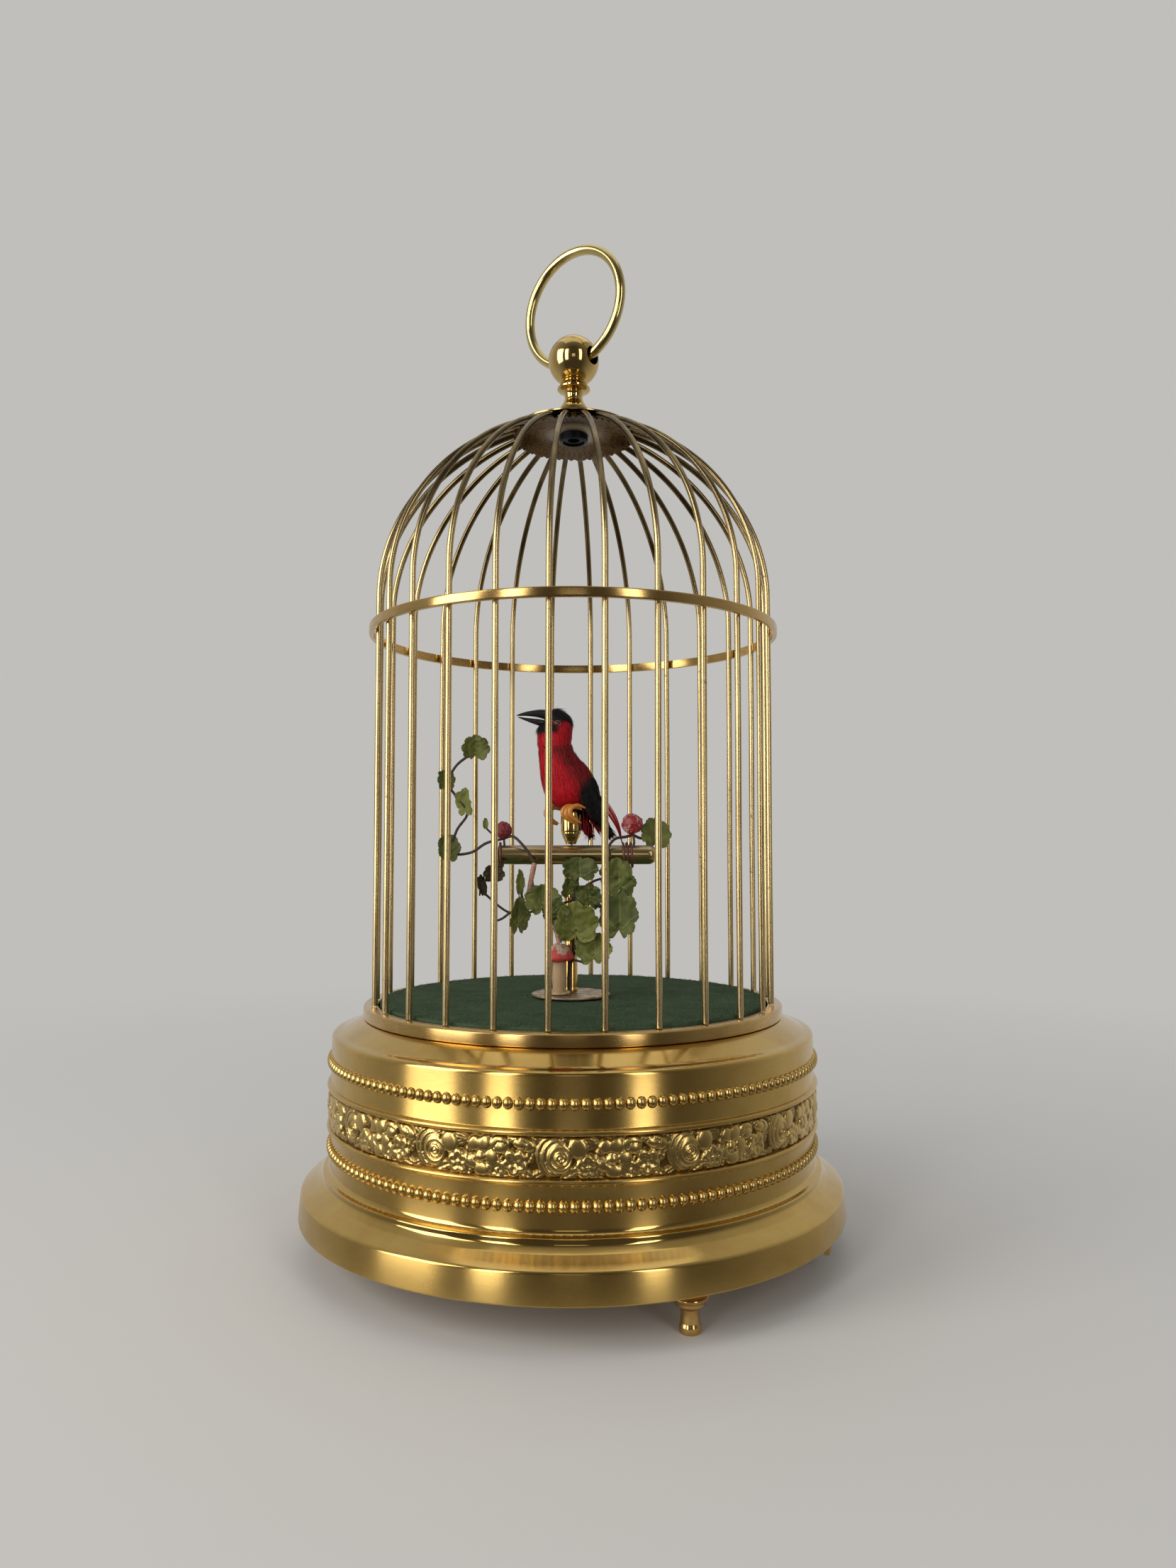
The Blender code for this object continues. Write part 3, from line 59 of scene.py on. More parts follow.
class Shade:
    """One socket of a finish. Sums written on it add Math nodes, and node() adds any other."""

    def __init__(self, tree, socket):
        self.tree = tree
        self.socket = socket

    def node(self, kind, settings=None, sockets=None, output=0):
        added = self.tree.nodes.new("ShaderNode" + kind)
        for name, value in (settings or {}).items():
            if name == "stops":
                stops = added.color_ramp.elements
                while len(stops) < len(value):
                    stops.new(0.5)
                for stop, (position, colour) in zip(stops, value):
                    stop.position = position
                    stop.color = (*colour, 1.0)
            else:
                setattr(added, name, value)
        for name, value in (sockets or {}).items():
            if isinstance(value, Shade):
                self.tree.links.new(value.socket, added.inputs[name])
            else:
                added.inputs[name].default_value = value
        return Shade(self.tree, added.outputs[output])

    def sum(self, operation, first, second=0.0, clamp=False):
        return self.node("Math", {"operation": operation, "use_clamp": clamp}, {0: first, 1: second})

    def __add__(self, other):
        return self.sum("ADD", self, other)

    __radd__ = __add__

    def __sub__(self, other):
        return self.sum("SUBTRACT", self, other)

    def __rsub__(self, other):
        return self.sum("SUBTRACT", other, self)

    def __mul__(self, other):
        return self.sum("MULTIPLY", self, other)

    __rmul__ = __mul__

    def __truediv__(self, other):
        return self.sum("DIVIDE", self, other)

    def __pow__(self, other):
        return self.sum("POWER", self, other)

    def ramp(self, low, high):
        """0 below low, 1 above high, and a straight run between."""
        sockets = {"Value": self, "From Min": low, "From Max": high}
        return self.node("MapRange", {"clamp": True}, sockets)

    def between(self, first, second):
        """The colour between two colours that this value picks."""
        first = first if isinstance(first, Shade) else (*first, 1.0)
        second = second if isinstance(second, Shade) else (*second, 1.0)
        return self.node("Mix", {"data_type": "RGBA"}, {0: self, 6: first, 7: second}, 2)

    def part(self, axis):
        return self.node("SeparateXYZ", None, {"Vector": self}, "XYZ".index(axis))

    def noise(self, size, detail=3.0, stretch=(1.0, 1.0, 1.0), rough=0.5):
        """Noise whose grains are about size metres across, stretched along an axis by its number."""
        scale = tuple(MM / (size * along) for along in stretch)
        placed = self.node("Mapping", None, {"Vector": self, "Scale": scale})
        sockets = {"Vector": placed, "Scale": 1.0 / MM, "Detail": detail, "Roughness": rough}
        return placed.node("TexNoise", None, sockets)


world = bpy.data.worlds.new("studio")
world.use_nodes = True
world.node_tree.nodes.clear()
toward = Shade(world.node_tree, world.node_tree.nodes.new("ShaderNodeTexCoord").outputs["Generated"])
PALE = (0.53, 0.52, 0.50)
DIM = (0.065, 0.058, 0.05)
rays = toward.node("LightPath")
tree_rays = rays.socket.node.outputs
mirrored = toward.part("Y").ramp(-0.75, 0.55).between(DIM, PALE)
wall = Shade(world.node_tree, tree_rays["Is Camera Ray"]).between(mirrored, PALE)
seen = sum(Shade(world.node_tree, tree_rays[f"Is {kind} Ray"]) for kind in ("Camera", "Glossy", "Transmission"))
soft_fill = seen.sum("MINIMUM", seen, 1.0).between((0.42, 0.42, 0.42), wall)
glow = toward.node("Background", None, {"Color": soft_fill, "Strength": 1.0})
sky = world.node_tree.nodes.new("ShaderNodeOutputWorld")
world.node_tree.links.new(glow.socket, sky.inputs["Surface"])
scene.world = world


def softbox(name, turn, reach, height, width, tall, watts):
    """A soft window, turned from the front toward the left, that faces the cage."""
    lamp = bpy.data.lights.new(name, "AREA")
    lamp.shape = "RECTANGLE"
    lamp.size = width
    lamp.size_y = tall
    lamp.energy = watts
    lamp.color = (1.0, 0.975, 0.94)
    window = bpy.data.objects.new(name, lamp)
    angle = math.radians(turn)
    window.location = (-reach * math.sin(angle), -reach * math.cos(angle), height)
    aim = Vector((0.0, 0.0, 0.12)) - window.location
    window.rotation_euler = aim.to_track_quat("-Z", "Y").to_euler()
    scene.collection.objects.link(window)


softbox("window_left", 63.0, 0.9, 0.40, 0.43, 0.84, 5.6)
softbox("window_front_left", 30.5, 1.1, 0.42, 0.225, 0.90, 3.8)
softbox("window_front_right", -31.0, 1.1, 0.42, 0.19, 0.90, 2.3)
softbox("front_strip", 0.0, 1.3, 0.36, 0.30, 0.26, 0.2)
softbox("soft_ceiling", 180.0, 0.15, 1.4, 1.2, 1.2, 2.4)

# The floor takes the cage's shadow near it, and far off it goes into the wall's own paleness.
bpy.ops.mesh.primitive_circle_add(vertices=96, radius=6.0, fill_type="NGON")
floor = bpy.context.object
floor.name = "floor"
floor_paint = bpy.data.materials.new("floor_paint")
floor_paint.use_nodes = True
ground = floor_paint.node_tree
paint = ground.nodes["Principled BSDF"]
paint.inputs["Base Color"].default_value = (0.58, 0.57, 0.55, 1.0)
paint.inputs["Roughness"].default_value = 0.7
spot = Shade(ground, ground.nodes.new("ShaderNodeTexCoord").outputs["Object"])
floor_rays = spot.node("LightPath").socket.node.outputs
floor_seen = sum(Shade(ground, floor_rays[f"Is {kind} Ray"]) for kind in ("Camera", "Glossy", "Transmission"))
away = (spot.part("X") * spot.part("X") + spot.part("Y") * spot.part("Y")) ** 0.5
faced = (spot.part("Y") / away).ramp(-0.75, 0.55).between(DIM, PALE)
by_camera = Shade(ground, floor_rays["Is Camera Ray"])
haze = spot.node("Emission", None, {"Color": by_camera.between(faced, PALE)})
mirrored_far = away.ramp(0.078, 0.125) * (floor_seen.sum("MINIMUM", floor_seen, 1.0) - by_camera)
far_off = away.ramp(0.10, 0.60) ** 0.6 * by_camera + mirrored_far
faded = spot.node("MixShader", None, {0: far_off, 1: Shade(ground, paint.outputs[0]), 2: haze})
ground.links.new(faded.socket, ground.nodes["Material Output"].inputs["Surface"])
floor.data.materials.append(floor_paint)

# The drum: one sheet of brass spun over a former, with a rim to stand on, a rolled moulding each
# side of the flowers, and a rounded shoulder up to the ledge that carries the cage.
RIM_RADIUS = 77.5
DRUM_RADIUS = 69.0
LEDGE = 64.4


def softened(profile, reach, closed=True):
    """The profile with each corner cut round, by two points at most reach from it."""
    count = len(profile)
    rounded = []
    for index, corner in enumerate(profile):
        corner = Vector(corner)
        if not closed and index in (0, count - 1):
            rounded.append(corner)
            continue
        before = Vector(profile[index - 1]) - corner
        after = Vector(profile[(index + 1) % count]) - corner
        first = corner + before * min(reach / before.length, 0.42)
        last = corner + after * min(reach / after.length, 0.42)
        rounded.extend((first, 0.25 * first + 0.5 * corner + 0.25 * last, last))
    return rounded


def lathe(profile, steps=256, reach=0.15, closed=True, centre=(0.0, 0.0)):
    """Spin a profile of (radius, height) in millimetres about an upright axis."""
    form = bmesh.new()
    points = softened(profile, reach, closed) if reach else [Vector(point) for point in profile]
    rim = [form.verts.new((radius * MM, 0.0, height * MM)) for radius, height in points]
    edges = [form.edges.new(pair) for pair in zip(rim, rim[1:])]
    if closed:
        edges.append(form.edges.new((rim[-1], rim[0])))
    bmesh.ops.spin(
        form, geom=rim + edges, cent=(0, 0, 0), axis=(0, 0, 1), angle=2 * math.pi,
        steps=steps, use_merge=True)
    bmesh.ops.remove_doubles(form, verts=form.verts, dist=1e-7)
    bmesh.ops.recalc_face_normals(form, faces=form.faces)
    bmesh.ops.translate(form, verts=form.verts, vec=(centre[0] * MM, centre[1] * MM, 0.0))
    return form


def piece(name, form, finish, body="cage", replaces=(), crease=38.0):
    """Make the finished form an object that rides on a body of the frame."""
    mesh = bpy.data.meshes.new(name)
    form.to_mesh(mesh)
    form.free()
    mesh.shade_smooth()
    mesh.set_sharp_from_angle(angle=math.radians(crease))
    mesh.materials.append(finish)
    made = bpy.data.objects.new(name, mesh)
    scene.collection.objects.link(made)
    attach(made, body)
    if replaces:
        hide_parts(*replaces)
    return made


def finish(name, draw, metallic=0.0, **fixed):
    """A procedural material. draw(place) gives colour, roughness, and a height in metres or None."""
    material = bpy.data.materials.new(name)
    material.use_nodes = True
    tree = material.node_tree
    shader = tree.nodes["Principled BSDF"]
    shader.inputs["Metallic"].default_value = metallic
    for socket, value in fixed.items():
        shader.inputs[socket.replace("_", " ")].default_value = value
    place = Shade(tree, tree.nodes.new("ShaderNodeTexCoord").outputs["Object"])
    colour, roughness, height = draw(place)
    tree.links.new(colour.socket, shader.inputs["Base Color"])
    tree.links.new(roughness.socket, shader.inputs["Roughness"])
    if height is not None:
        bumped = place.node("Bump", None, {"Height": height, "Distance": 1.0, "Strength": 1.0})
        tree.links.new(bumped.socket, shader.inputs["Normal"])
    return material


def round_streaks(place, size):
    """Noise in thin rings about the object's upright axis, as a cloth on the lathe leaves it."""
    x, y, z = (place.part(axis) for axis in "XYZ")
    out = (x * x + y * y) ** 0.5
    turned = place.node("CombineXYZ", None, {"X": x * 0.03, "Y": y * 0.03, "Z": z + out})
    return turned.noise(size, 2.0)


def brass(name, clean, aged, rough, streak=0.25, spots=0.4, grain=0.12, turned=True, **fixed):
    """Brass with polishing marks, clouds of tarnish and dark spots."""
    def draw(place):
        marks = round_streaks(place, grain * MM) if turned else place.noise(grain * MM, 2.0)
        clouds = place.noise(14 * MM, 4.0, rough=0.62)
        specks = place.noise(1.1 * MM, 3.0).ramp(0.70, 0.76) * place.noise(9 * MM, 2.0).ramp(0.54, 0.66) * spots
        age = clouds.ramp(0.38, 0.72) * 0.5 + marks.ramp(0.3, 0.8) * streak
        colour = specks.between(age.between(clean, aged), (0.16, 0.09, 0.03))
        roughness = rough + clouds.ramp(0.35, 0.75) * 0.05 + marks.ramp(0.3, 0.75) * 0.05 + specks * 0.25
        return colour, roughness, marks * (0.010 * streak * MM) if turned else None
    return finish(name, draw, 1.0, **fixed)


# A lathe's grooves run round the piece, so a bright window is drawn out up and down across them.
BRUSHED = {"Anisotropic": 0.9, "Anisotropic_Rotation": 0.25}


def draw_drum(place):
    """Brushed on the upright walls and the rim, polished on the shoulder and the sloping foot."""
    height = place.part("Z") / MM
    walls = height.ramp(24.6, 25.2) * (1.0 - height.ramp(59.4, 60.4)) + 1.0 - height.ramp(17.6, 18.4)
    marks = round_streaks(place, 0.11 * MM)
    clouds = place.noise(16 * MM, 4.0, rough=0.6)
    specks = place.noise(1.1 * MM, 3.0).ramp(0.71, 0.77) * place.noise(9 * MM, 2.0).ramp(0.55, 0.66) * 0.7
    age = clouds.ramp(0.38, 0.72) * 0.45 + marks.ramp(0.3, 0.8) * (0.10 + walls * 0.22)
    colour = specks.between(age.between((0.67, 0.455, 0.145), (0.43, 0.265, 0.062)), (0.12, 0.065, 0.02))
    roughness = 0.115 + walls * 0.135 + clouds.ramp(0.35, 0.75) * 0.04 + specks * 0.25
    return colour, roughness, marks * (walls * 0.0016 + 0.0006) * MM


satin_drum = finish("satin_drum_brass", draw_drum, 1.0, **BRUSHED)
drum_profile = [
    (52.0, LEDGE), (60.4, LEDGE), (62.4, 63.25), (65.9, 61.25), (66.7, 60.95), (67.9, 60.75), (68.7, 60.45),
    (DRUM_RADIUS, 59.9), (DRUM_RADIUS, 47.62), (69.6, 47.5), (70.02, 47.2), (70.15, 46.8), (70.02, 46.4),
    (69.6, 46.1), (68.8, 46.0), (68.8, 36.4), (69.6, 36.3), (70.02, 36.0), (70.15, 35.6), (70.02, 35.2),
    (69.6, 34.9), (DRUM_RADIUS, 34.78), (DRUM_RADIUS, 24.9), (69.25, 24.3), (69.8, 23.85), (70.9, 23.6),
    (71.05, 23.4), (71.05, 22.3), (71.3, 21.9), (72.5, 20.75), (74.6, 19.55), (76.5, 18.5),
    (76.9, 18.05), (RIM_RADIUS, 11.1), (77.3, 10.9),
    (76.5, 10.9), (76.3, 13.5), (75.7, 13.5), (75.7, 18.0), (72.0, 20.1), (70.2, 22.0), (68.1, 24.3),
    (68.1, 58.9), (60.0, 63.5), (52.0, 63.5),
]
piece("drum_shell", lathe(drum_profile, 288, 0.22), satin_drum, replaces=["base_drum"], crease=50.0)

# Two rows of beads, pressed out of the drum's sheet by a milled wheel while it turned.
BEADS = 166
beads = bmesh.new()
for level in (53.35, 30.05):
    for index in range(BEADS):
        turn = Matrix.Rotation(2 * math.pi * index / BEADS, 4, "Z")
        seat = Matrix.Translation((69.05 * MM, 0.0, level * MM))
        size = Matrix.Diagonal((1.2 * MM, 1.27 * MM, 1.52 * MM, 1.0))
        bmesh.ops.create_icosphere(beads, subdivisions=2, radius=1.0, matrix=turn @ seat @ size)
bead_brass = brass(
    "bead_brass", (0.68, 0.475, 0.165), (0.42, 0.255, 0.07), 0.24, streak=0.1, spots=0.3, turned=False, grain=0.5)
piece("drum_beads", beads, bead_brass, crease=180.0)

# The band of flowers round the drum: a die-rolled strip of roses, blossoms, buds and leaves, which
# repeats fourteen times and stands a little over one millimetre out of its sunk ground.
REPEATS = 14
TILE_COLUMNS = 138
BAND_ROWS = 42
BAND_LOW = 36.3
BAND_TALL = 9.8
FLOWERS_PROUD = 1.1
tile_width = 2 * math.pi * 69.6 / REPEATS
along = (numpy.arange(TILE_COLUMNS) + 0.5) * tile_width / TILE_COLUMNS
upward = numpy.arange(BAND_ROWS + 1) * BAND_TALL / BAND_ROWS
ALONG, UPWARD = numpy.meshgrid(along, upward, indexing="ij")


def about(x, y, turn=0.0):
    """Distances from a point of the tile, turned, on the side where the strip repeats nearest."""
    across = (ALONG - x + tile_width / 2) % tile_width - tile_width / 2
    rise = UPWARD - y
    cosine, sine = math.cos(math.radians(turn)), math.sin(math.radians(turn))
    return across * cosine + rise * sine, rise * cosine - across * sine


def dome(x, y, wide, tall, turn=0.0, high=0.8, fall=0.20):
    """A plump petal or bud: nearly flat on top and steep at its edge."""
    a, b = about(x, y, turn)
    return high * numpy.clip(1 - (a / (1.1 * wide)) ** 2 - (b / (1.1 * tall)) ** 2, 0, 1) ** fall


def cupped(x, y, wide, tall, turn=0.0, high=0.8, dip=0.3):
    """A petal that is pressed in along its middle, toward the heart of its flower."""
    a, b = about(x, y, turn)
    hollowed = 1 - dip * numpy.exp(-(((a + 0.35 * wide) / (0.6 * wide)) ** 2) - (b / (0.45 * tall)) ** 2)
    return dome(x, y, wide, tall, turn, high) * hollowed


def blossom(x, y, radius, turn=0.0, high=0.85, petals=5, heart=0.85):
    shape = dome(x, y, 0.27 * radius, 0.27 * radius, 0, heart, 0.5)
    for petal in range(petals):
        swing = turn + 360.0 * petal / petals
        step = 0.62 * radius
        where = (x + step * math.cos(math.radians(swing)), y + step * math.sin(math.radians(swing)))
        shape = numpy.maximum(shape, cupped(*where, 0.48 * radius, 0.46 * radius, swing, high, 0.34))
    return shape


def leaflet(x, y, length, width, turn=0.0, high=0.6, veins=4):
    a, b = about(x, y, turn)
    length, width = 1.15 * length, 1.2 * width
    u = numpy.clip(a / length + 0.5, 0, 1)
    half = width / 2 * numpy.sin(numpy.pi * u ** 0.8) ** 0.75 * (1 + 0.10 * numpy.sin(2 * numpy.pi * veins * u))
    inside = numpy.clip(1 - numpy.abs(b) / numpy.maximum(half, 1e-4), 0, 1) * (numpy.abs(a) < length / 2)
    ribs = 1 - 0.16 * (numpy.sin(2 * numpy.pi * (veins * u - numpy.abs(b) / width)) > 0.3)
    middle = 1 - 0.5 * numpy.exp(-((b / (0.09 * width)) ** 2))
    return high * inside ** 0.3 * ribs * middle


def over(below, above, edge=0.25):
    """The upper form laid on the lower one, with a pressed line round it."""
    return numpy.where(above > edge, above, numpy.where(above > 0, numpy.minimum(below, 0.35), below))


def rose(x, y):
    """A rose from the side: a wide crescent of outer petals, a bowl, and a whorled heart."""
    shape = over(dome(x - 2.2, y + 0.5, 3.6, 4.35, 6, 0.80, 0.3), dome(x - 1.3, y + 0.2, 3.5, 4.1, 10, 0.95, 0.34), 0.5)
    shape = over(shape, dome(x - 0.45, y + 0.1, 3.0, 3.5, 0, 1.06, 0.34), 0.5)
    a, b = about(x, y)
    out = numpy.hypot(a, b)
    whorl = 0.80 + 0.24 * numpy.cos(2 * numpy.pi * (out / 0.78) - numpy.arctan2(b, a))
    heart = numpy.clip(1 - (out / 1.75) ** 8, 0, 1)
    shape = shape * (1 - heart) + heart * whorl
    rim = numpy.exp(-(((out - 1.95) / 0.22) ** 2))
    return shape * (1 - 0.55 * rim)


def vine(x0, y0, x1, y1, wide=0.36, high=0.45):
    a, b = about((x0 + x1) / 2, (y0 + y1) / 2, math.degrees(math.atan2(y1 - y0, x1 - x0)))
    reach = math.hypot(x1 - x0, y1 - y0) / 2
    end = numpy.clip((reach - numpy.abs(a)) / 0.4, 0, 1)
    return high * numpy.clip(1 - (b / wide) ** 2, 0, 1) ** 0.5 * end


# Leaves and stalks lie lowest, then the buds and blossoms, and the roses on top of all.
low_leaves = [
    leaflet(8.3, 1.5, 4.4, 2.7, 24, 0.62), leaflet(12.4, 8.75, 4.6, 1.5, -10, 0.5), leaflet(12.9, 7.3, 3.6, 1.4, 16, 0.48),
    leaflet(15.1, 5.9, 4.0, 2.0, 84, 0.62), leaflet(15.0, 1.4, 3.0, 2.0, 68, 0.64), leaflet(19.9, 8.9, 2.6, 1.3, -20, 0.5),
    leaflet(24.3, 5.6, 3.2, 1.9, -50, 0.55), leaflet(24.2, 0.8, 3.4, 1.6, 12, 0.55), leaflet(28.9, 1.1, 3.9, 2.1, -16, 0.62),
    leaflet(29.9, 4.9, 3.0, 2.1, 62, 0.58), leaflet(1.3, 8.6, 4.0, 1.9, -34, 0.6), leaflet(31.0, 6.8, 3.0, 1.5, 100, 0.5),
    leaflet(0.7, 1.0, 3.4, 1.7, 26, 0.55), leaflet(10.4, 4.3, 2.6, 1.6, -60, 0.55), leaflet(20.0, 0.9, 2.8, 1.4, 10, 0.55),
    leaflet(7.4, 9.0, 2.8, 1.3, 20, 0.5), leaflet(25.6, 8.8, 2.4, 1.3, 16, 0.5), vine(9.8, 0.7, 13.2, 5.6), vine(22.4, 3.4, 24.6, 6.6),
    vine(17.2, 0.6, 22.0, 0.7), vine(28.4, 3.0, 30.6, 8.8),
]
buds = [
    numpy.maximum(dome(9.9, 7.1, 2.1, 2.25, 24, 0.85), cupped(9.1, 6.5, 1.5, 1.5, 60, 0.78)),
    over(dome(22.7, 7.5, 2.2, 1.95, 0, 0.86), dome(23.0, 6.9, 1.5, 1.3, 10, 0.95), 0.5),
    over(dome(28.3, 7.9, 2.7, 1.5, -18, 0.84), dome(27.6, 7.9, 1.6, 1.05, -18, 0.92), 0.5),
    blossom(12.3, 2.8, 2.65, 20), blossom(26.3, 3.5, 2.85, 50, 0.9, 5, 0.35), blossom(22.1, 1.9, 2.0, 0, 0.78),
    dome(18.9, 7.4, 1.75, 1.6, 40, 0.8), dome(16.4, 7.4, 1.5, 1.6, -30, 0.74), dome(20.7, 4.6, 1.75, 1.6, 0, 0.84),
    dome(18.3, 1.7, 1.9, 1.5, 0, 0.8), dome(16.1, 3.2, 1.5, 1.4, 30, 0.72), dome(20.6, 2.4, 1.0, 1.0, 0, 0.7),
]
motifs = [numpy.maximum.reduce(low_leaves), numpy.maximum.reduce(buds), dome(17.9, 4.5, 1.35, 1.4, 0, 1.0, 0.42)]
flowers = over(over(over(motifs[0], motifs[1], 0.3), motifs[2], 0.3), rose(6.0, 4.75), 0.3)
flowers = numpy.maximum(flowers, 0.0)
for shift in range(1):
    soft = (numpy.roll(flowers, 1, 0) + numpy.roll(flowers, -1, 0) + 2 * flowers) / 4
    soft[:, 1:-1] = (soft[:, 2:] + soft[:, :-2] + 2 * soft[:, 1:-1]) / 4
    flowers = 0.5 * flowers + 0.5 * soft
flowers[:, :2] = 0.0
flowers[:, -2:] = 0.0
strip = bmesh.new()
hollow = strip.verts.layers.float.new("hollow")
columns = REPEATS * TILE_COLUMNS
bmesh.ops.create_grid(strip, x_segments=columns, y_segments=BAND_ROWS, size=0.5)
for corner in strip.verts:
    column = round((corner.co.x + 0.5) * columns)
    row = round((corner.co.y + 0.5) * BAND_ROWS)
    proud = flowers[column % TILE_COLUMNS, row]
    angle = 2 * math.pi * (column % columns) / columns - math.radians(91.4 + 6.0 * 360 / REPEATS / tile_width)
    radius = (DRUM_RADIUS - 0.05 + FLOWERS_PROUD * proud) * MM
    corner.co = (radius * math.cos(angle), radius * math.sin(angle), (BAND_LOW + BAND_TALL * row / BAND_ROWS) * MM)
    # The hollow layer keeps how far each point stands out. The finish paints the low ground dark by it: part tarnish,
    # part painted shade.
    corner[hollow] = min(1.0, proud * 1.3)
bmesh.ops.remove_doubles(strip, verts=strip.verts, dist=1e-7)
bmesh.ops.recalc_face_normals(strip, faces=strip.faces)


def draw_flowers(place):
    raised = place.node("Attribute", {"attribute_name": "hollow"}, None, 2)
    clouds = place.noise(9 * MM, 3.0)
    # Painted shade and tarnish: the sunk ground and the pressed line round each form are painted dark. Part of it is
    # tarnish in the hollows, and part is painted shade that makes the flowers stand out.
    worn = raised.ramp(0.15, 0.8) * 0.9 + clouds * 0.1
    colour = worn.between((0.15, 0.085, 0.020), (0.70, 0.49, 0.175))
    grit = place.noise(0.35 * MM, 2.0)
    return colour, 0.36 - worn * 0.12 + grit * 0.05, grit * (0.003 * MM)


flower_band = piece("flower_band", strip, finish("embossed_brass", draw_flowers, 1.0), crease=60.0)

# The bottom plate, a plain disc of brass held in the rim, and the three turned feet, each screwed
# through the plate by its own stud. Their dark pads are not drawn.
plain_brass = brass("plain_brass", (0.64, 0.42, 0.15), (0.38, 0.23, 0.07), 0.26, streak=0.5, spots=0.6)


def dress(node, *finishes):
    """Give a node of the frame a better material in each of its slots."""
    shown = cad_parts[node]
    for index in range(max(1, len(shown.material_slots))):
        if index < len(shown.material_slots):
            shown.material_slots[index].material = finishes[min(index, len(finishes) - 1)]
        else:
            shown.data.materials.append(finishes[0])


dress("bottom_plate", plain_brass)
foot_brass = brass("foot_brass", (0.64, 0.41, 0.15), (0.38, 0.22, 0.07), 0.13, spots=0.3, turned=False, grain=0.4)
foot_profile = [
    (0.0, 16.0), (1.2, 16.0), (1.2, 11.7), (3.3, 11.7), (3.35, 11.2), (3.2, 10.4), (3.5, 9.4), (4.2, 8.7),
    (4.45, 8.3), (4.3, 7.9), (3.75, 7.3), (3.72, 6.6), (3.4, 6.3), (3.0, 6.1), (2.35, 5.6), (2.2, 4.4),
    (2.35, 2.4), (2.6, 1.6), (2.7, 0.5), (2.5, 0.0), (0.0, 0.0),
]
FOOT_CIRCLE = 69.7
FOOT_TURN = -66.2
for index in range(3):
    angle = math.radians(FOOT_TURN + 120.0 * index)
    centre = (FOOT_CIRCLE * math.cos(angle), FOOT_CIRCLE * math.sin(angle))
    foot = lathe(foot_profile, 48, 0.12, closed=False, centre=centre)
    piece(f"turned_foot_{index + 1}", foot, foot_brass, replaces=[f"foot_{index + 1}"], crease=30.0)

# The winding key and the start and stop lever under the plate, plain polished castings.
dress("winding_key", foot_brass)
dress("stop_lever", plain_brass)

# The movement inside the drum: brass plates, barrel and wheels, steel arbors and fly, a leather
# bellows with paper-stiffened folds, and a turned whistle.
movement_brass = brass("movement_brass", (0.76, 0.54, 0.22), (0.54, 0.36, 0.12), 0.2, turned=False, grain=0.3)


def draw_steel(place):
    marks = place.noise(0.4 * MM, 2.0, (1.0, 1.0, 8.0))
    return marks.between((0.42, 0.42, 0.43), (0.58, 0.58, 0.60)), 0.24 + marks * 0.15, marks * (0.004 * MM)


def draw_leather(place):
    pores = place.noise(0.5 * MM, 4.0)
    stains = place.noise(6 * MM, 3.0)
    colour = stains.between((0.46, 0.33, 0.21), (0.62, 0.48, 0.33))
    return colour, 0.62 + pores * 0.2, pores * (0.05 * MM)


steel = finish("movement_steel", draw_steel, 1.0)
leather = finish("bellows_leather", draw_leather)
for node in ("movement_frame", "mainspring_barrel", "whistle"):
    dress(node, movement_brass)
for node in ("cam_shaft", "fly_governor", "drive_rod"):
    dress(node, steel)
dress("bellows", leather)

# The stage: a dyed fibre board on the drum's ledge, and the felt that is laid on it, cut to a
# disc by hand so that its edge wavers and its nap stands up in tufts.
FELT_UNDER = 67.3
FELT_TOP = 68.7
POST_X = -0.7


def draw_board(place):
    fibres = place.noise(0.8 * MM, 4.0, (6.0, 1.0, 1.0))
    return fibres.between((0.13, 0.09, 0.06), (0.24, 0.18, 0.12)), 0.75 + fibres * 0.15, fibres * (0.05 * MM)


def draw_felt(place):
    fibres = place.noise(0.45 * MM, 5.0, rough=0.7)
    patches = place.noise(9 * MM, 4.0, rough=0.6)
    dust = place.noise(1.1 * MM, 3.0, rough=0.7).ramp(0.60, 0.78) * 0.3
    green = (patches.ramp(0.3, 0.7) * 0.45 + fibres.ramp(0.3, 0.7) * 0.55).between((0.022, 0.044, 0.022), (0.078, 0.112, 0.062))
    return dust.between(green, (0.15, 0.165, 0.10)), 0.93 + fibres * 0.07, fibres * (0.35 * MM)


dress("stage_plate", finish("fibre_board", draw_board))
felt_profile = [(1.0, FELT_UNDER)] + [(56.0 * step / 60, FELT_UNDER) for step in range(2, 61)]
felt_profile += [(56.0 * step / 60, FELT_TOP - 0.12) for step in range(60, 1, -1)] + [(1.0, FELT_TOP - 0.12)]
felt = lathe(felt_profile, 220, 0.0, centre=(0.0, 0.0))
for fibre in felt.verts:
    tuft = noise.noise(fibre.co * 900.0) * 0.5 + noise.noise(fibre.co * 2300.0) * 0.5
    wide = math.hypot(fibre.co.x, fibre.co.y) / MM
    if fibre.co.z > (FELT_UNDER + 0.5) * MM:
        fibre.co.z += tuft * 0.16 * MM
    if wide > 55.0:
        pull = 1.0 - (0.12 + 0.25 * abs(tuft)) / 56.0
        fibre.co.x *= pull
        fibre.co.y *= pull
felt_floor = piece(
    "felt_disc", felt, finish("green_felt", draw_felt, Specular_IOR_Level=0.1),
    replaces=["felt_floor"], crease=180.0)

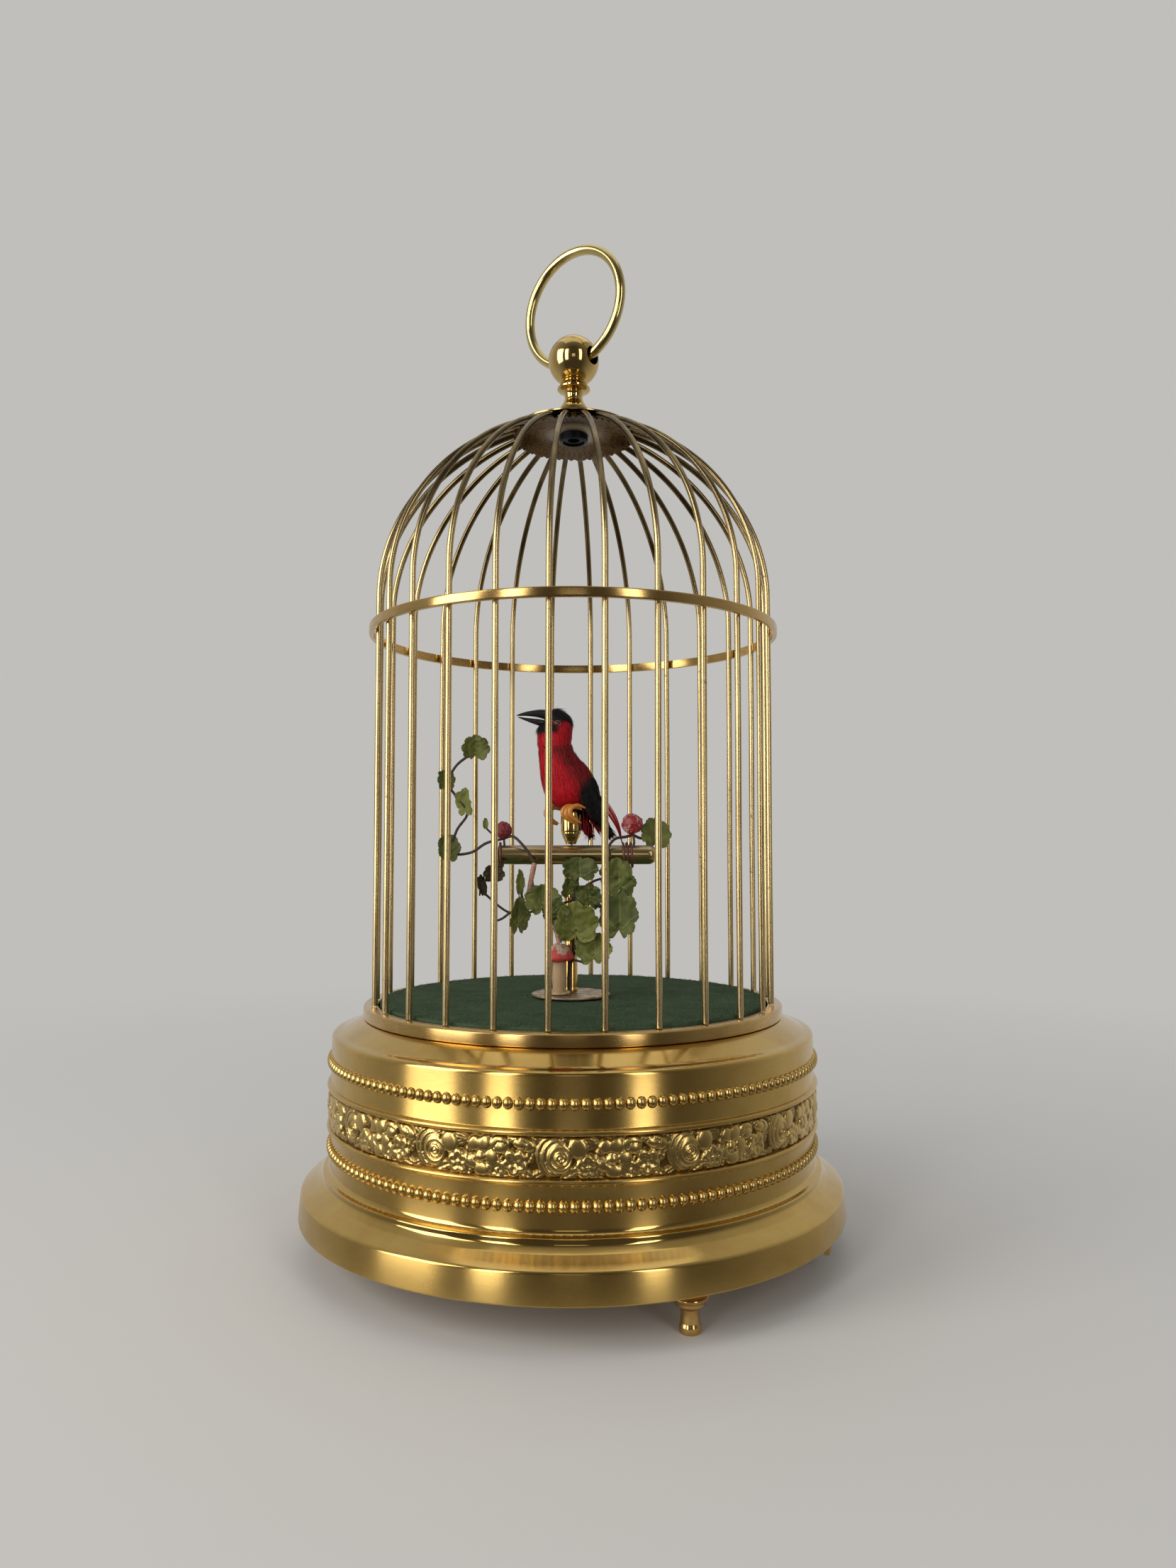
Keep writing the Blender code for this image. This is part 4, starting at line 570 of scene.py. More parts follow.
# Loose wool: short dyed fibres that stand out of the felt's face, thickest toward its cut edge.
random.seed(12)
wool = bmesh.new()
for tuft in range(5200):
    wide = 55.4 * math.sqrt(random.random()) if tuft % 4 else random.uniform(53.0, 55.9)
    turn = random.uniform(0, 2 * math.pi)
    if math.hypot(wide * math.cos(turn) - POST_X, wide * math.sin(turn)) < 11.8:
        continue
    heading = random.uniform(0, 2 * math.pi)
    reach = random.uniform(0.5, 1.7)
    bow = random.uniform(0.12, 0.5)
    blade = bmesh.ops.create_grid(wool, x_segments=1, y_segments=3, size=0.5)["verts"]
    for corner in blade:
        t = corner.co.y + 0.5
        bend = heading + 1.6 * bow * t
        x = wide * math.cos(turn) + reach * t * math.cos(bend) + 0.10 * corner.co.x * math.sin(bend)
        y = wide * math.sin(turn) + reach * t * math.sin(bend) - 0.10 * corner.co.x * math.cos(bend)
        pull = min(1.0, 55.9 / math.hypot(x, y))
        corner.co = (x * pull * MM, y * pull * MM, (FELT_TOP - 0.12 + bow * math.sin(math.pi * min(1.0, t + 0.1))) * MM)


def draw_wool(place):
    tint = place.noise(0.7 * MM, 2.0)
    return tint.ramp(0.3, 0.7).between((0.026, 0.052, 0.026), (0.13, 0.17, 0.105)), 0.9 + tint * 0.1, None


piece("felt_fibres", wool, finish("loose_wool", draw_wool, Specular_IOR_Level=0.1),
      replaces=["felt_floor"], crease=180.0)

# The cage's foot ring and the band half way up: drawn strip, bent round, soldered and turned true,
# with the corners just broken. The band holds the wires and is tarnished where they touch.
ring_brass = brass(
    "cage_ring_brass", (0.66, 0.45, 0.17), (0.40, 0.235, 0.07), 0.2, streak=0.45, spots=0.6, **BRUSHED)
foot_ring = [
    (56.35, 64.6), (56.35, 67.6), (56.55, 67.9), (60.1, 67.9), (60.5, 67.5), (60.5, 64.8), (60.3, 64.55),
]
piece("cage_foot_ring", lathe(foot_ring, 288, 0.12), ring_brass, replaces=["cage_base_ring"])
band = [(58.75, 174.0), (58.75, 176.6), (60.0, 176.6), (60.15, 176.2), (60.15, 174.4), (60.0, 174.0)]
piece("wire_band", lathe(band, 288, 0.12), ring_brass, replaces=["cage_band"])

# Twenty-six bars of hard brass wire: each stands on the foot ring, runs up past the band and bends
# over the dome, where its end goes under the cap.
WIRES = 26
WIRE_CIRCLE = 57.5
WIRE_RADIUS = 0.85
WIRE_FOOT = 68.2
SPRINGING = 185.2
DOME_RISE = 54.9
DOME_FULLNESS = 1.9
WIRE_TURN = 8.52


def dome_height(radius):
    return SPRINGING + DOME_RISE * (1.0 - (radius / WIRE_CIRCLE) ** DOME_FULLNESS) ** (1.0 / DOME_FULLNESS)


def drawn_tube(name, runs, sides=12, closed=False):
    """A form of round tubes, each along (x, y, z, radius) points in millimetres."""
    curve = bpy.data.curves.new(name, "CURVE")
    curve.dimensions = "3D"
    curve.bevel_depth = MM
    curve.bevel_resolution = max(0, sides // 4 - 1)
    curve.use_fill_caps = True
    for run in runs:
        line = curve.splines.new("POLY")
        line.points.add(len(run) - 1)
        line.use_cyclic_u = closed
        for point, (x, y, z, radius) in zip(line.points, run):
            point.co = (x * MM, y * MM, z * MM, 1.0)
            point.radius = radius
    holder = bpy.data.objects.new(name, curve)
    scene.collection.objects.link(holder)
    mesh = bpy.data.meshes.new_from_object(holder.evaluated_get(bpy.context.evaluated_depsgraph_get()))
    form = bmesh.new()
    form.from_mesh(mesh)
    bpy.data.objects.remove(holder)
    bpy.data.meshes.remove(mesh)
    bpy.data.curves.remove(curve)
    return form


def draw_wire(place):
    clouds = place.noise(9 * MM, 3.0, (1.0, 1.0, 2.5))
    scratches = place.noise(0.25 * MM, 2.0, (1.0, 1.0, 16.0))
    spots = place.noise(2.0 * MM, 3.0).ramp(0.66, 0.74) * 0.6
    # Above 188 mm the wires are made darker by height alone, toward the top of the dome.
    age = clouds.ramp(0.4, 0.75) * 0.4 + scratches * 0.15 + (place.part("Z") / MM).ramp(188.0, 222.0) * 0.75
    colour = spots.between(age.between((0.68, 0.52, 0.26), (0.12, 0.085, 0.036)), (0.15, 0.10, 0.045))
    return colour, 0.25 - age * 0.04 + spots * 0.2, None


wire_brass = finish("bar_wire_brass", draw_wire, 1.0)
bar = [(WIRE_CIRCLE, WIRE_FOOT + step * (SPRINGING - WIRE_FOOT) / 12) for step in range(12)]
for step in range(37):
    radius = WIRE_CIRCLE * math.cos(math.acos(8.5 / WIRE_CIRCLE) * step / 36)
    bar.append((radius, dome_height(radius)))
random.seed(26)
for index in range(WIRES):
    turn = math.radians(WIRE_TURN - 90.0 + 360.0 / WIRES * index)
    sway = [random.uniform(-0.10, 0.10) for bend in range(3)]
    run = []
    for radius, height in bar:
        rise = (height - WIRE_FOOT) / (SPRINGING + DOME_RISE - WIRE_FOOT)
        lean = sway[0] * math.sin(3.1 * rise) + sway[1] * math.sin(6.3 * rise)
        lean = lean * min(1.0, radius / 30.0) / WIRE_CIRCLE
        inward = abs(sway[2]) * math.sin(6.3 * rise) ** 2
        spoke = radius - inward
        run.append((spoke * math.cos(turn + lean), spoke * math.sin(turn + lean), height, WIRE_RADIUS))
    name = f"bar_wire_{index + 1:02d}"
    piece(name, drawn_tube(name, [run], 16), wire_brass, replaces=[f"cage_wire_{index + 1:02d}"])

# The cap: a thin spun disc that lies over the wires' ends, and the pleated dish below them, which
# the finial's stud draws up by a hollow hub nut. Solder has run out beside the hub.
cap_brass = brass("cap_brass", (0.60, 0.43, 0.17), (0.30, 0.18, 0.07), 0.22, streak=0.5, spots=0.5, **BRUSHED)
CAP_RADIUS = 18.0
cap_radii = [1.8, 4.6, 8.5, 11.0, 13.5, 15.5, 17.2, CAP_RADIUS]
cap_line = [(radius, dome_height(radius) + WIRE_RADIUS * 1.05 + 0.3) for radius in cap_radii]
cap_profile = [(radius, height + 0.5) for radius, height in cap_line] + cap_line[::-1]
piece("domed_cap", lathe(cap_profile, 160, 0.14), cap_brass, replaces=["cage_cap"])

DISH_SEAT = dome_height(8.5) - WIRE_RADIUS - 0.6
PLEATS = 56
dish_profile = [(1.8, DISH_SEAT), (8.3, DISH_SEAT)]
dish_curve = [(8.9, 0.1), (10.2, 0.3), (11.7, 0.55), (13.2, 0.8), (14.7, 1.05), (16.1, 1.3), (17.3, 1.5), (18.1, 1.7)]
dish_profile += [(radius, DISH_SEAT - drop) for radius, drop in dish_curve]
dish_profile += [(radius - 0.15, DISH_SEAT - drop - 0.42) for radius, drop in dish_curve[::-1]]
dish_profile += [(8.1, DISH_SEAT - 0.8), (4.3, DISH_SEAT - 1.0), (4.3, DISH_SEAT - 2.7), (3.3, DISH_SEAT - 3.1)]
dish_profile += [(3.44, DISH_SEAT - 2.42), (1.8, DISH_SEAT - 2.42)]
dish = lathe(dish_profile, PLEATS * 6, 0.1)
for corner in dish.verts:
    wide = math.hypot(corner.co.x, corner.co.y) / MM
    if wide > 8.2:
        turn = math.atan2(corner.co.y, corner.co.x)
        fold = math.cos(PLEATS * turn)
        deep = min(1.0, (wide - 8.2) / 6.0)
        corner.co.z += 0.26 * MM * fold * deep
        if wide > 17.6:
            pull = 1.0 - 0.012 * (1.0 - abs(math.cos(PLEATS * turn / 2)))
            corner.co.x *= pull
            corner.co.y *= pull


def draw_dish(place):
    """Dark bronze, a pale smear of solder round the hub, and the hub nut nearly black."""
    x, y = place.part("X") / MM, place.part("Y") / MM
    out = (x * x + y * y) ** 0.5
    mottle = place.noise(1.2 * MM, 4.0, rough=0.65)
    bronze = mottle.ramp(0.3, 0.7).between((0.05, 0.03, 0.013), (0.19, 0.115, 0.048))
    solder = (1.0 - (out + mottle * 3.0 - 1.5).ramp(5.6, 9.0)) * 0.8
    nut = 1.0 - out.ramp(4.35, 4.7)
    colour = nut.between(solder.between(bronze, (0.40, 0.34, 0.24)), (0.02, 0.022, 0.028))
    return colour, 0.26 + mottle * 0.16 + solder * 0.1, mottle * (0.03 * MM)


dish_bronze = finish("dish_bronze", draw_dish, 0.95)
piece("pleated_dish", dish, dish_bronze, replaces=["inner_dish"], crease=30.0)

# The finial: a turned ball on a waisted stem, cross-drilled for the carrying ring, which was bent
# from round rod, sprung through the hole and closed.
polished = brass(
    "polished_brass", (0.66, 0.47, 0.18), (0.46, 0.31, 0.10), 0.06, streak=0.12, spots=0.25, turned=False, grain=0.6)
FINIAL_FOOT = dome_height(4.6) + WIRE_RADIUS * 1.05 + 1.1
BALL = 7.7
FINIAL_STEM = 10.45
BALL_CENTRE = FINIAL_FOOT + FINIAL_STEM + BALL
ball_line = []
for step in range(33):
    angle = math.radians(150.0 * step / 32)
    ball_line.append((BALL * math.sin(angle), BALL_CENTRE + BALL * math.cos(angle)))
collar = FINIAL_FOOT + FINIAL_STEM * 0.9
finial_line = ball_line + [
    (3.75, collar + 1.95), (4.05, collar + 1.8), (4.15, collar + 1.55), (4.0, collar + 1.3), (3.55, collar + 1.1),
    (3.6, collar + 0.8), (4.6, collar + 0.6), (4.95, collar + 0.25), (4.95, collar - 0.2), (4.6, collar - 0.55),
    (3.6, collar - 0.85), (3.0, collar - 1.5), (2.75, collar - 2.3), (2.75, collar - 3.1), (3.0, collar - 3.9),
    (3.4, collar - 4.6), (3.75, collar - 5.2), (4.2, collar - 5.9), (4.6, collar - 6.7), (4.6, FINIAL_FOOT),
    (1.5, FINIAL_FOOT), (1.5, DISH_SEAT - 0.9), (0.0, DISH_SEAT - 0.9),
]
finial_form = lathe(finial_line, 96, 0.0, closed=False)
drill = bmesh.new()
bmesh.ops.create_cone(
    drill, cap_ends=True, segments=48, radius1=2.7 * MM, radius2=2.7 * MM, depth=0.04,
    matrix=Matrix.Translation((0, 0, BALL_CENTRE * MM)) @ Matrix.Rotation(math.radians(-37.4), 4, "Z")
    @ Matrix.Rotation(math.radians(90.0), 4, "Y"))


def drilled(form, tool):
    """The form with the tool's shape cut out of it."""
    holders = []
    for part, shape in (("turning", form), ("tool", tool)):
        mesh = bpy.data.meshes.new(part)
        shape.to_mesh(mesh)
        shape.free()
        holders.append(bpy.data.objects.new(part, mesh))
        scene.collection.objects.link(holders[-1])
    bite = holders[0].modifiers.new("bite", "BOOLEAN")
    bite.operation = "DIFFERENCE"
    bite.solver = "EXACT"
    bite.object = holders[1]
    mesh = bpy.data.meshes.new_from_object(holders[0].evaluated_get(bpy.context.evaluated_depsgraph_get()))
    left = bmesh.new()
    left.from_mesh(mesh)
    for holder in holders:
        bpy.data.objects.remove(holder)
    return left


piece("ball_finial", drilled(finial_form, drill), polished, replaces=["finial"], crease=30.0)

RING_CENTRE = BALL_CENTRE - 0.9 + 17.5
ring_run = []
for step in range(144):
    angle = 2 * math.pi * step / 144
    across = 17.5 * math.cos(angle)
    turn = math.radians(-37.4)
    ring_run.append((across * math.cos(turn), across * math.sin(turn), RING_CENTRE + 17.5 * math.sin(angle), 1.5))
ring_form = drawn_tube("ring", [ring_run], 32, closed=True)
ring_gold = brass(
    "ring_brass", (0.66, 0.53, 0.22), (0.40, 0.30, 0.11), 0.1, streak=0.15, spots=0.4, turned=False, grain=0.8)
piece("round_carrying_ring", ring_form, ring_gold, body="carrying_ring", replaces=["carrying_ring"])

# The fittings on the stage: a flange with worn plating round the foot of a hollow post, the perch
# tube across it and the turned socket that holds the bird.
post_brass = brass("post_brass", (0.70, 0.46, 0.15), (0.40, 0.24, 0.07), 0.12, spots=0.4, turned=False, grain=0.5)


def draw_flange(place):
    worn = place.noise(2.6 * MM, 4.0, rough=0.65).ramp(0.46, 0.58)
    fine = place.noise(0.5 * MM, 3.0)
    colour = worn.between((0.24, 0.185, 0.145), (0.50, 0.38, 0.21))
    return colour, 0.38 + fine * 0.2 - worn * 0.1, fine * (0.02 * MM)


PERCH_LEVEL = 110.25
flange_profile = [
    (0.9, 69.0), (11.3, 69.0), (11.5, 69.2), (11.5, 69.6), (11.2, 69.8), (10.2, 69.72), (3.2, 69.72), (2.6, 69.8),
    (0.9, 69.8)]
flange = lathe(flange_profile, 96, 0.1, centre=(POST_X, 0.0))
piece("worn_flange", flange, finish("worn_flange_brass", draw_flange, 0.85), replaces=["post_flange"])
post_profile = [(0.9, 70.1), (2.0, 70.1), (2.1, 70.9), (1.95, 71.4), (1.95, 107.4), (0.9, 107.4)]
post = lathe(post_profile, 40, 0.1, centre=(POST_X, 0.0))
piece("hollow_post", post, post_brass, replaces=["perch_post"])


def draw_perch(place):
    clouds = place.noise(4 * MM, 4.0, (3.0, 1.0, 1.0))
    dull = (place.part("Z") / MM - PERCH_LEVEL + clouds * 0.8).ramp(1.9, 2.8)
    scratches = place.noise(0.3 * MM, 2.0, (12.0, 1.0, 1.0))
    age = clouds.ramp(0.35, 0.7) * 0.6 + scratches * 0.25
    colour = (dull * 0.85).between(age.between((0.80, 0.65, 0.34), (0.46, 0.32, 0.13)), (0.36, 0.30, 0.23))
    return colour, 0.13 + age * 0.1 + dull * 0.3, scratches * (0.003 * MM)


perch_line = [
    (0.0, 25.7), (0.9, 25.6), (1.7, 25.25), (2.35, 24.6), (2.75, 23.7), (2.85, 22.9), (2.85, -21.0),
    (2.7, -21.45), (2.3, -21.6), (0.0, -21.6)]
perch = lathe(perch_line, 64, 0.1, closed=False)
lay = Matrix.Translation((POST_X * MM, 0, PERCH_LEVEL * MM)) @ Matrix.Rotation(math.radians(90.0), 4, "Y")
bmesh.ops.transform(perch, verts=perch.verts, matrix=lay)
piece("perch_tube", perch, finish("perch_brass", draw_perch, 1.0), replaces=["perch_bar"])
socket_profile = [
    (0.9, 123.5), (2.5, 123.5), (2.9, 122.9), (3.05, 121.8), (3.05, 117.2), (2.85, 116.9), (2.9, 116.6),
    (2.55, 115.6), (2.05, 114.7), (1.95, 114.2), (1.7, 114.0), (1.55, 113.4), (0.9, 113.4)]
socket = lathe(socket_profile, 64, 0.1, centre=(POST_X, 0.0))
piece("turned_socket", socket, polished, replaces=["bird_socket"], crease=30.0)

# The toadstool: turned wood, painted red and chipped down to its beige ground on top, set in a
# lump of glue. The stub of green wire beside it is not drawn.
CAP_X = -4.0
CAP_Y = -4.9
stool_profile = [
    (0.0, 84.4), (1.1, 84.3), (2.0, 83.9), (2.8, 83.0), (3.35, 82.0), (3.7, 80.9), (3.65, 80.2), (3.2, 79.75),
    (2.2, 79.6), (1.9, 79.3), (2.0, 77.0), (2.15, 74.6), (1.9, 72.0), (1.75, 70.1), (0.0, 70.1)]
stool = lathe(stool_profile, 64, 0.25, closed=False, centre=(CAP_X, CAP_Y))
for corner in stool.verts:
    if corner.co.z > 79.5 * MM:
        lump = noise.noise(corner.co * 420.0) + 0.5 * noise.cell(corner.co * 900.0)
        corner.co.z += 0.3 * MM * lump
        corner.co.x += 0.13 * (corner.co.x - CAP_X * MM) + 0.22 * MM * lump
        corner.co.y += 0.13 * (corner.co.y - CAP_Y * MM)


def draw_toadstool(place):
    height = place.part("Z") / MM
    flaking = place.noise(1.5 * MM, 4.0, rough=0.7)
    chipped = ((height - 81.9) * 0.30 + (flaking - 0.5) * 2.9).ramp(0.15, 0.28)
    grain = place.noise(0.6 * MM, 3.0, (1.0, 1.0, 5.0))
    wood = grain.between((0.28, 0.17, 0.08), (0.43, 0.29, 0.16))
    paint = flaking.between((0.30, 0.012, 0.015), (0.50, 0.045, 0.035))
    stalk = (height - 79.55).ramp(0.0, 0.15)
    colour = stalk.between(wood, chipped.between(paint, grain.between((0.26, 0.18, 0.12), (0.44, 0.32, 0.22))))
    return colour, 0.5 + grain * 0.2 + chipped * 0.15, (grain - chipped * 0.8) * (0.08 * MM)


toadstool = piece(
    "toadstool", stool, finish("toadstool_paint", draw_toadstool),
    replaces=["mushroom"], crease=60.0)


def draw_glue(place):
    cloud = place.noise(0.8 * MM, 3.0)
    return cloud.between((0.24, 0.15, 0.07), (0.44, 0.32, 0.17)), 0.28 + cloud * 0.2, cloud * (0.05 * MM)


glue = bmesh.new()
for x, y, wide in ((CAP_X, CAP_Y, 2.6), (CAP_X + 1.7, CAP_Y + 0.4, 1.5), (CAP_X - 1.6, CAP_Y + 0.3, 1.3)):
    blob = bmesh.ops.create_icosphere(
        glue, subdivisions=4, radius=1.0,
        matrix=Matrix.Translation((x * MM, y * MM, 70.3 * MM)) @ Matrix.Diagonal((wide * MM, wide * MM, 0.9 * MM, 1)))
    for corner in blob["verts"]:
        corner.co.z = max(69.95 * MM, corner.co.z + 0.3 * MM * noise.noise(corner.co * 700.0))
glue_lump = piece("toadstool_glue", glue, finish("old_glue", draw_glue), replaces=["mushroom"])

# The leaves: waxed cotton stamped to scalloped lobes, dyed green and crinkled over pressed veins.
# Each is glued by its notch to a wire stem that is wound with dark paper.
LEAF_CELLS = 26
LEAF_AHEAD = 0.8


def raised(points, level):
    return [(x, y, z + level) for x, y, z in points]


def flowing(points, per_span=8):
    """A smooth line through the points, as bent wire takes."""
    path = [Vector(point) for point in points]
    path = [2 * path[0] - path[1]] + path + [2 * path[-1] - path[-2]]
    line = []
    for index in range(1, len(path) - 2):
        a, b, c, d = path[index - 1:index + 3]
        for step in range(per_span):
            t = step / per_span
            line.append(0.5 * (2 * b + (c - a) * t + (2 * a - 5 * b + 4 * c - d) * t * t
                               + (3 * b - a - 3 * c + d) * t ** 3))
    line.append(path[-2])
    return line


def cloth_leaf(form, spec, level, seed):
    """One lobed leaf on the form: its middle, width, height, lean and turn come from the spec."""
    (x, y, z), width, height, lean, turn, *dried = spec
    vein = form.verts.layers.float["vein"]
    shade = form.verts.layers.float["shade"]
    luck = random.Random(seed)
    lobes = luck.choice((7, 8, 9))
    phase = luck.uniform(-0.4, 0.4)
    fold = luck.uniform(0.16, 0.34)
    wave = luck.uniform(0.09, 0.18)
    tone = dried[0] if dried else luck.uniform(0.15, 0.9)
    place = Matrix.Translation(Vector((x, y - LEAF_AHEAD, z + level)) * MM) @ Matrix.Rotation(math.radians(turn), 4, "Z")
    place = place @ Matrix.Rotation(math.radians(90.0 + lean), 4, "X")
    place = place @ Matrix.Diagonal((width * MM / 2, height * MM / 2, min(width, height) * MM / 2, 1.0))
    cells = bmesh.ops.create_grid(form, x_segments=LEAF_CELLS, y_segments=LEAF_CELLS, size=1.0)["verts"]
    for corner in cells:
        u, v = corner.co.x, corner.co.y
        across = u * math.sqrt(1 - v * v / 2)
        rise = v * math.sqrt(1 - u * u / 2)
        angle = math.atan2(rise, across)
        reach = math.hypot(across, rise)
        from_stem = (angle + math.pi / 2 + math.pi) % (2 * math.pi) - math.pi
        scallop = abs(math.cos(lobes * angle / 2 + phase)) ** 0.45
        edge = 1.0 - 0.20 * (1 - scallop) * reach ** 2 + 0.02 * math.sin(31 * angle + seed) * reach ** 4
        edge *= 1.0 - 0.42 * math.exp(-(from_stem / 0.24) ** 2)
        edge += 0.04 * noise.noise(Vector((across * 3, rise * 3, seed)))
        along, out = math.atan2(across, rise + 0.62), math.hypot(across, rise + 0.62)
        ribs = abs(math.sin(along * 3.4 + phase * 0.2))
        rib = math.exp(-(ribs * out / 0.085) ** 2)
        crinkle = noise.noise(Vector((across * 4.2, rise * 4.2, seed * 3.1)))
        lift = fold * abs(across) * 1.3 + wave * reach * reach * math.sin(3 * angle + seed) + 0.12 * crinkle
        lift += 0.09 * (1 - rib) * reach - 0.25 * fold
        corner.co = place @ Vector((across * edge, rise * edge, lift))
        corner[vein] = rib
        corner[shade] = tone + 0.35 * noise.noise(Vector((across * 2, rise * 2, seed * 7.7)))


def leaves(name, specs, level, seed, node, finish_used):
    form = bmesh.new()
    form.verts.layers.float.new("vein")
    form.verts.layers.float.new("shade")
    for index, spec in enumerate(specs):
        cloth_leaf(form, spec, level, seed + index)
    made = piece(name, form, finish_used, replaces=[node], crease=180.0)
    cloth = made.modifiers.new("cloth", "SOLIDIFY")
    cloth.thickness = 0.16 * MM
    cloth.offset = 0.0
    return made


def draw_leaf(place):
    vein = place.node("Attribute", {"attribute_name": "vein"}, None, 2)
    shade = place.node("Attribute", {"attribute_name": "shade"}, None, 2)
    weave = place.noise(0.22 * MM, 3.0)
    brown = place.noise(3.2 * MM, 4.0, rough=0.65).ramp(0.60, 0.74)
    dry = (shade * -1.0).ramp(0.1, 0.5)
    green = dry.between(shade.between((0.036, 0.050, 0.009), (0.165, 0.175, 0.036)), (0.034, 0.024, 0.009))
    colour = (vein * 0.5 * (1.0 - dry)).between(brown.between(green, (0.10, 0.075, 0.025)), (0.24, 0.25, 0.08))
    return colour, 0.46 + weave * 0.25, (weave * 0.6 - vein * 0.9) * (0.10 * MM)


def draw_stem(place):
    winding = place.noise(0.35 * MM, 3.0)
    return winding.between((0.014, 0.008, 0.007), (0.062, 0.034, 0.024)), 0.55 + winding * 0.2, winding * (0.1 * MM)


leaf_cloth = finish("waxed_leaf_cloth", draw_leaf, Specular_IOR_Level=0.3)
stem_paper = finish("stem_paper", draw_stem)


def stem_run(points, level, radius=0.42, seed=0):
    """A paper-wound wire: its girth swells and pinches a little from turn to turn."""
    line = flowing(raised(points, level))
    run = []
    for step, point in enumerate(line):
        swell = 1.0 + 0.13 * noise.noise(Vector((step * 0.9, seed, 0.0))) + 0.06 * (step % 2)
        run.append((*point, radius * swell))
    return run


VINE_PATH = [
    (-11.3, -3.9, -11.55), (-12.0, -3.9, -7.15), (-11.2, -4.0, -3.05), (-12.6, -4.0, -0.05), (-15.2, -3.7, 3.35),
    (-17.9, -1.6, 5.45), (-21.0, -0.2, 4.75), (-25.8, -0.8, 3.45), (-30.4, -1.0, 0.65), (-35.8, -1.0, 0.75),
    (-34.6, -1.0, 7.05), (-31.4, -1.0, 12.35), (-34.6, -1.2, 17.15), (-37.0, -1.4, 21.25), (-34.6, -1.4, 26.55),
    (-29.0, -1.2, 30.75)]
VINE_LEAVES = [
    ((-29.0, -1.2, 31.65), 8.6, 8.0, 12, 10), ((-38.0, -1.4, 21.95), 6.2, 6.7, -10, 35),
    ((-31.7, -1.0, 15.35), 6.4, 9.1, 8, -35), ((-37.0, -1.0, 1.95), 6.9, 9.3, -8, 25),
    ((-26.0, -0.9, 9.2), 1.7, 3.6, 0, 20)]
leaves("vine_leaves", VINE_LEAVES, PERCH_LEVEL, 11, "vine_spray", leaf_cloth)
SPROUT_TWIG = [(-25.9, -1.2, 8.0), (-24.2, -0.8, 6.3), (-22.6, -0.6, 4.6)]
vine_runs = [stem_run(VINE_PATH, PERCH_LEVEL, 0.40, 1), stem_run(SPROUT_TWIG, PERCH_LEVEL, 0.28, 5)]
vine = drawn_tube("vine", vine_runs, 12)
piece("vine_stem", vine, stem_paper, replaces=["vine_spray"])

POST_FOOT = 70.1
BOUQUET_STEM = [
    (-1.3, -2.9, 0), (-1.1, -3.0, 6.9), (0.9, -3.4, 13.9), (1.6, -3.9, 20.9), (0.6, -4.2, 27.9), (1.6, -4.6, 35.4)]
BOUQUET_LEAVES = [
    ((1.9, -4.9, 35.9), 10.7, 7.9, -14, 5), ((13.4, -4.4, 33.5), 11.4, 12.2, 16, -18),
    ((-8.9, -5.6, 27.0), 11.1, 9.6, -12, 14), ((4.8, -5.2, 28.0), 9.0, 8.8, 18, -20),
    ((13.5, -4.6, 22.5), 11.8, 15.0, -10, -12), ((0.9, -6.3, 20.5), 13.2, 13.2, 10, 6),
    ((6.2, -4.8, 12.7), 11.0, 10.2, -18, -8), ((-15.9, -4.6, 22.5), 6.6, 11.5, 8, 30),
    ((-15.6, -5.2, 31.9), 3.4, 8.8, 0, 50), ((-23.2, -5.0, 34.9), 6.4, 6.0, 14, 16, -0.9),
    ((-26.9, -4.8, 31.1), 3.6, 6.8, -6, 45, -0.7), ((-4.4, -6.2, 24.0), 8.4, 8.2, 16, -24),
    ((-1.2, -3.9, 30.4), 6.6, 6.2, 10, 30)]
BOUQUET_TWIGS = [
    [(0.4, -4.1, 29.0), (7.0, -4.4, 32.9), (13.2, -4.5, 33.4)],
    [(1.0, -4.1, 27.6), (-4.0, -5.2, 25.9), (-8.8, -5.5, 26.9)], [(0.7, -4.0, 24.6), (4.6, -5.1, 27.9)],
    [(1.4, -3.8, 19.4), (8.0, -4.4, 20.9), (13.5, -4.6, 22.5)], [(1.5, -3.7, 17.9), (0.6, -6.3, 20.5)],
    [(0.7, -3.3, 12.9), (6.2, -4.8, 12.7)],
    [(-8.4, -5.5, 27.4), (-12.5, -5.0, 23.5), (-18.6, -4.6, 23.4), (-24.5, -4.8, 27.8), (-26.8, -4.8, 30.9),
     (-23.3, -5.0, 35.0)],
    [(-12.8, -4.9, 23.2), (-14.8, -5.2, 27.9), (-15.6, -5.2, 32.0)],
    [(-18.1, -4.7, 23.6), (-21.0, -4.6, 21.5), (-23.8, -4.6, 20.8)],
    [(-2.3, -3.6, 9.6), (0.3, -5.2, 9.7), (2.9, -5.9, 9.2)]]
leaves("bouquet_leaves", BOUQUET_LEAVES, POST_FOOT, 31, "leaf_bouquet", leaf_cloth)
twigs = [stem_run(BOUQUET_STEM, POST_FOOT, 0.46, 2)]
twigs += [stem_run(twig, POST_FOOT, 0.34, 3 + index) for index, twig in enumerate(BOUQUET_TWIGS)]
piece("bouquet_stems", drawn_tube("twigs", twigs, 12), stem_paper, replaces=["leaf_bouquet"])

